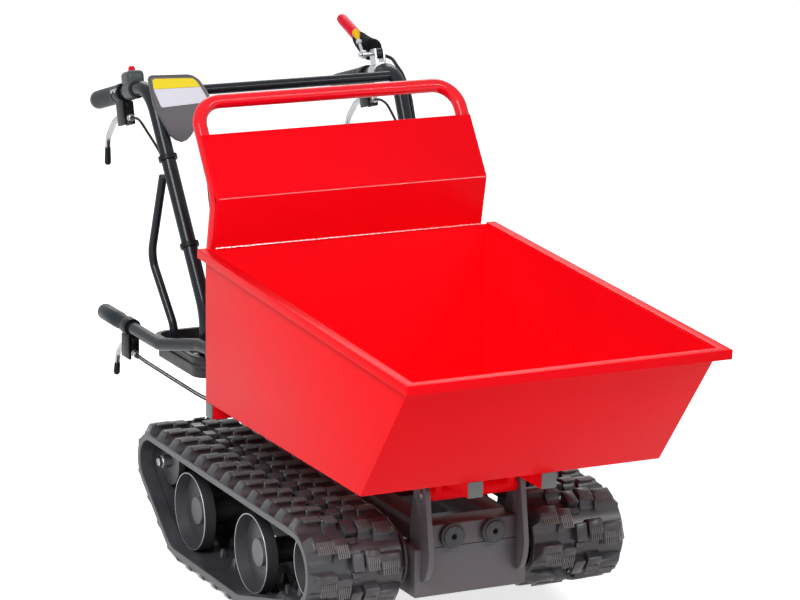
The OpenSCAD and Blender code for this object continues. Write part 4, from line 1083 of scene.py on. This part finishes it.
def makeSwitchBox():
    q = switchBox
    x, y = q["half"]
    shell = soften(block("switchShell", (-x, -y, q["low"]), (x, y, q["top"])), q["ease"], 4)
    long = q["ringLength"]
    ring = turned("switchRing", [(0, q["ring"]), (long, q["ring"])], (0, -long / 2, 0), (0, 1, 0))
    collar = turned("switchCollar", [(0, q["collar"]), (q["collarHigh"], q["collar"] - q["collarIn"])],
                    (0, 0, q["top"] - q["collarSink"]), sides=24)
    piece = settleShape(joined("switchHousing", [shell, ring, collar]), onGrip(-1, q["back"]))
    settle(piece, housingPlastic, "chassis", "switch_box", slot="cap_plastic")


drive = {"back": 0.196, "rise": 0.022, "knee": (0, 0.05, 0.022), "far": (0, 0.148, 0.086), "gripLong": 0.0845,
         "gripSteps": ((0, 0.0098), (0.002, 0.0112), (0.08, 0.0105), (0.086, 0.0095), (0.0895, 0.006))}
boot = {"radius": 0.022, "end": 0.0125, "start": 0.024, "stop": 0.083, "kneeShares": (0.6, 0.4), "steps": 12,
        "fold": 0.05, "beat": 1.1}
throttle = {"side": -0.03, "reach": (0, 0.022, 0.042), "stem": 0.003, "eye": 0.008, "nut": 0.0055,
            "nutHigh": 0.007, "nutShare": 0.55, "knobLap": 0.012,
            "knobSteps": ((0, 0.003), (0.004, 0.0045), (0.011, 0.0072), (0.016, 0.0074), (0.02, 0.0058),
                          (0.0225, 0.003))}
drivePivot = Vector((0, 0, bar["radius"] + drive["rise"]))


def makeDriveLever():
    spot = onGrip(1, drive["back"])
    knee, far = drivePivot + Vector(drive["knee"]), drivePivot + Vector(drive["far"])
    arm = (far - knee).normalized()
    begin, end = drivePivot + (knee - drivePivot).normalized() * boot["start"], far - arm * boot["stop"]
    before, after = boot["kneeShares"]
    path = throughPoints([begin, begin.lerp(knee, before), knee.lerp(end, after), end], boot["steps"])
    last, taper = len(path) - 1, boot["end"] / boot["radius"] - 1
    cover = tube("driveBoot", path, boot["radius"], roundness=6,
                 swell=lambda k: 1 + taper * k / last - boot["fold"] * cos(k * boot["beat"]))
    settle(settleShape(cover, spot), bootRubber, "drive_lever", slot="grip_rubber")
    handle = turned("driveGrip", drive["gripSteps"], far - arm * drive["gripLong"], arm, 32)
    settle(settleShape(handle, spot), signalRed, "drive_lever", "drive_grip", slot="signal_red")


def makeThrottle():
    q, spot = throttle, onGrip(1, drive["back"])
    hub = drivePivot + Vector((q["side"], 0, 0))
    top = hub + Vector(q["reach"])
    stem = tube("throttleStem", [hub, hub.lerp(top, 0.5), top], q["stem"], roundness=5)
    eye = turned("throttleEye", [(0, q["eye"]), (q["eye"], q["eye"])], hub - Vector((q["eye"] / 2, 0, 0)),
                 (1, 0, 0), 32)
    nut = turned("throttleNut", [(0, q["nut"]), (q["nutHigh"], q["nut"])], hub.lerp(top, q["nutShare"]),
                 top - hub, 6)
    piece = settleShape(joined("throttleStem", [stem, eye, nut]), spot)
    settle(piece, zincSteel, "throttle_lever", "throttle_lever", slot="zinc_steel")
    seat = top - (top - hub).normalized() * q["knobLap"]
    knob = turned("throttleKnob", q["knobSteps"], seat, top - hub, 28)
    settle(settleShape(knob, spot), signalYellow, "throttle_lever", slot="signal_red")


makeSwitchBox()
makeDriveLever()
makeThrottle()
print("controls ready")


# Cables along their routes

latch = {"radius": 0.0017, "drop": 0.0046, "steps": 8}
latchRoute = [(tip["x"], 0.3245, 0.3515), (tip["x"] + 0.001, 0.29, 0.3485), (tip["x"] + 0.005, 0.23, 0.345),
              (tip["x"] + 0.014, 0.14, 0.338), (-0.262, 0.06, 0.33), (-0.236, 0.016, 0.324),
              (-0.18, 0.008, 0.322), (-0.09, 0.008, 0.32), (-0.014, 0.008, 0.317)]
cables = {"steps": 10, "roundness": 4, "footZ": 0.364, "steerRadius": 0.0026, "clipGap": 0.0046,
          "footX": 0.235, "kneeDrop": 0.05, "steerLead": ((0, -0.03, 0.003), (0, -0.064, -0.008)),
          "steerShares": (0.68, 0.5, 0.3, 0.1), "driveRadius": 0.0034, "driveOut": 0.0185,
          "driveUpright": 0.06,
          "driveLead": ((0.0125, -0.008, 0.03), (0.0185, -0.024, 0.022), (0.0185, -0.044, 0.006)),
          "driveShares": (0.87, 0.78, 0.6, 0.4, 0.2, 0.06)}


def cable(name, points, radius, steps):
    return tube(name, throughPoints(points, steps), radius, roundness=cables["roundness"])


def makeLatchCables():
    pair = []
    for k in (0, 1):
        points = [at(x, y, z - k * latch["drop"]) for x, y, z in latchRoute]
        pair.append(cable("latchCable", points, latch["radius"], latch["steps"]))
    settle(joined("latchCables", pair), cableSheath, "bin", "latch_cables", slot="cable_sheath")


def makeSteerCables():
    pair = []
    y, drop = leverBody["adjuster"][1]
    for side in (-1, 1):
        rise = barRise(side)
        behind = Vector((0, rise.z, -rise.y)) * (bar["radius"] + cables["clipGap"] + cables["steerRadius"])
        start = onGrip(side, lever["steerBack"], 0, y, -bar["radius"] - drop).translation
        foot = Vector((side * cables["footX"], barPoints(side)[0].y + behind.y,
                       bar["kneeZ"] - cables["kneeDrop"]))
        points = [start] + [start + Vector(step) for step in cables["steerLead"]]
        points += [onIncline(side, share) + behind for share in cables["steerShares"]]
        points += [foot, Vector((foot.x, foot.y, cables["footZ"]))]
        pair.append(cable("steerCable", points, cables["steerRadius"], cables["steps"]))
    settle(joined("steerCables", pair), cableSheath, "chassis", "control_cables", slot="cable_sheath")


def makeDriveCable():
    out = Vector((cables["driveOut"], 0, 0))
    points = [onGrip(1, drive["back"], *step).translation for step in cables["driveLead"]] + [barApex() + out]
    points += [onIncline(1, share) + out for share in cables["driveShares"]]
    base = barPoints(1)[0] + out
    points += [base + Vector((0, 0, cables["driveUpright"])), Vector((base.x, base.y, cables["footZ"]))]
    piece = cable("driveCable", points, cables["driveRadius"], cables["steps"])
    settle(piece, cableSheath, "chassis", slot="cable_sheath")


makeLatchCables()
makeSteerCables()
makeDriveCable()
print("cables ready")


# Soft-edged copies of plain plates, small fasteners, and finishes on the solids that show as they are

softParts = {
    "front_beam": ("frontBeam", 0.0022, greyPowder, "chassis", "dark_paint"),
    "hinge_plates": ("hingePlates", 0.0014, greyPowder, "chassis", "dark_paint"),
    "rubber_buffers": ("rubberBuffers", 0.0016, housingPlastic, "chassis", "track_rubber"),
    "chassis_frame": ("chassisFrame", 0.002, greyPowder, "chassis", "dark_paint"),
    "engine_deck": ("engineDeck", 0.0015, deckPaint, "chassis", "dark_paint"),
    "tip_bracket": ("tipBracket", 0.0018, blackPlastic, "bin", "black_plastic"),
    "lever_brackets": ("leverBrackets", 0.0018, blackPlastic, "chassis", "black_plastic"),
}
easeSheets(softParts)

deckBolts = {"size": 0.0052, "z": 0.3582, "spots": ((0.237, 0.264), (0.205, 0.236))}
sprocketBolt = 0.009
for side, name in ((-1, "right"), (1, "left")):
    for k, (x, y) in enumerate(deckBolts["spots"]):
        spot = Matrix.Translation(at(side * x, y, deckBolts["z"]))
        boltHead("deckBolt%d_%s" % (k, name), spot, deckBolts["size"], "chassis")

for side, name in ((-1, "sprocket_right"), (1, "sprocket_left")):
    place = Vector(joints[name + "_spin"]["pos_m"])
    place.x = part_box(name)[0 if side < 0 else 1].x
    spot = Matrix.Translation(place) @ Matrix.Rotation(radians(90 * side), 4, "Y")
    boltHead(name + "Bolt", spot, sprocketBolt, name)

# A thin black strip along the front beam under the buffer box: a painted shadow line beneath the box's lower
# edge
paintedShadowLine = {"half": 0.0872, "z": 0.179, "high": 0.0013, "proud": 0.0004, "deep": 0.003}
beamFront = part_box("front_beam")[0].y
shadowStrip = block("beamPaintedShadow", (-paintedShadowLine["half"], beamFront - paintedShadowLine["proud"], paintedShadowLine["z"] - paintedShadowLine["high"] / 2),
              (paintedShadowLine["half"], beamFront + paintedShadowLine["deep"], paintedShadowLine["z"] + paintedShadowLine["high"] / 2))
settle(shadowStrip, blackPlastic, "chassis", slot="black_paint")

plainParts = {
    wheelPaint: ["idler_right", "idler_left", "front_roller_right", "front_roller_left", "rear_roller_right",
                 "rear_roller_left"],
    greyPowder: ["track_frames", "gear_bracket"],
    castIron: ["sprocket_right", "sprocket_left", "gearbox_pulley", "engine_pulley"],
    zincSteel: ["hinge_pin", "gear_lever", "tip_latch", "drive_bracket", "frame_bolts", "muffler"],
    axleGrey: ["roller_axles"],
    castAlloy: ["gearbox", "engine_block", "engine_cylinder"],
    cableSheath: ["drive_belt"],
    redEnamel: ["recoil_cover"],
    blackPlastic: ["recoil_handle", "fuel_cap", "air_cleaner", "cable_clamps", "fuel_tank"],
    blackPowder: ["drive_lever"],
    signalRed: ["stop_switch"],
}
for finish, names in plainParts.items():
    for node in names:
        nodes[node].data.materials.clear()
        nodes[node].data.materials.append(finish.material)
print("finishes on the solids")
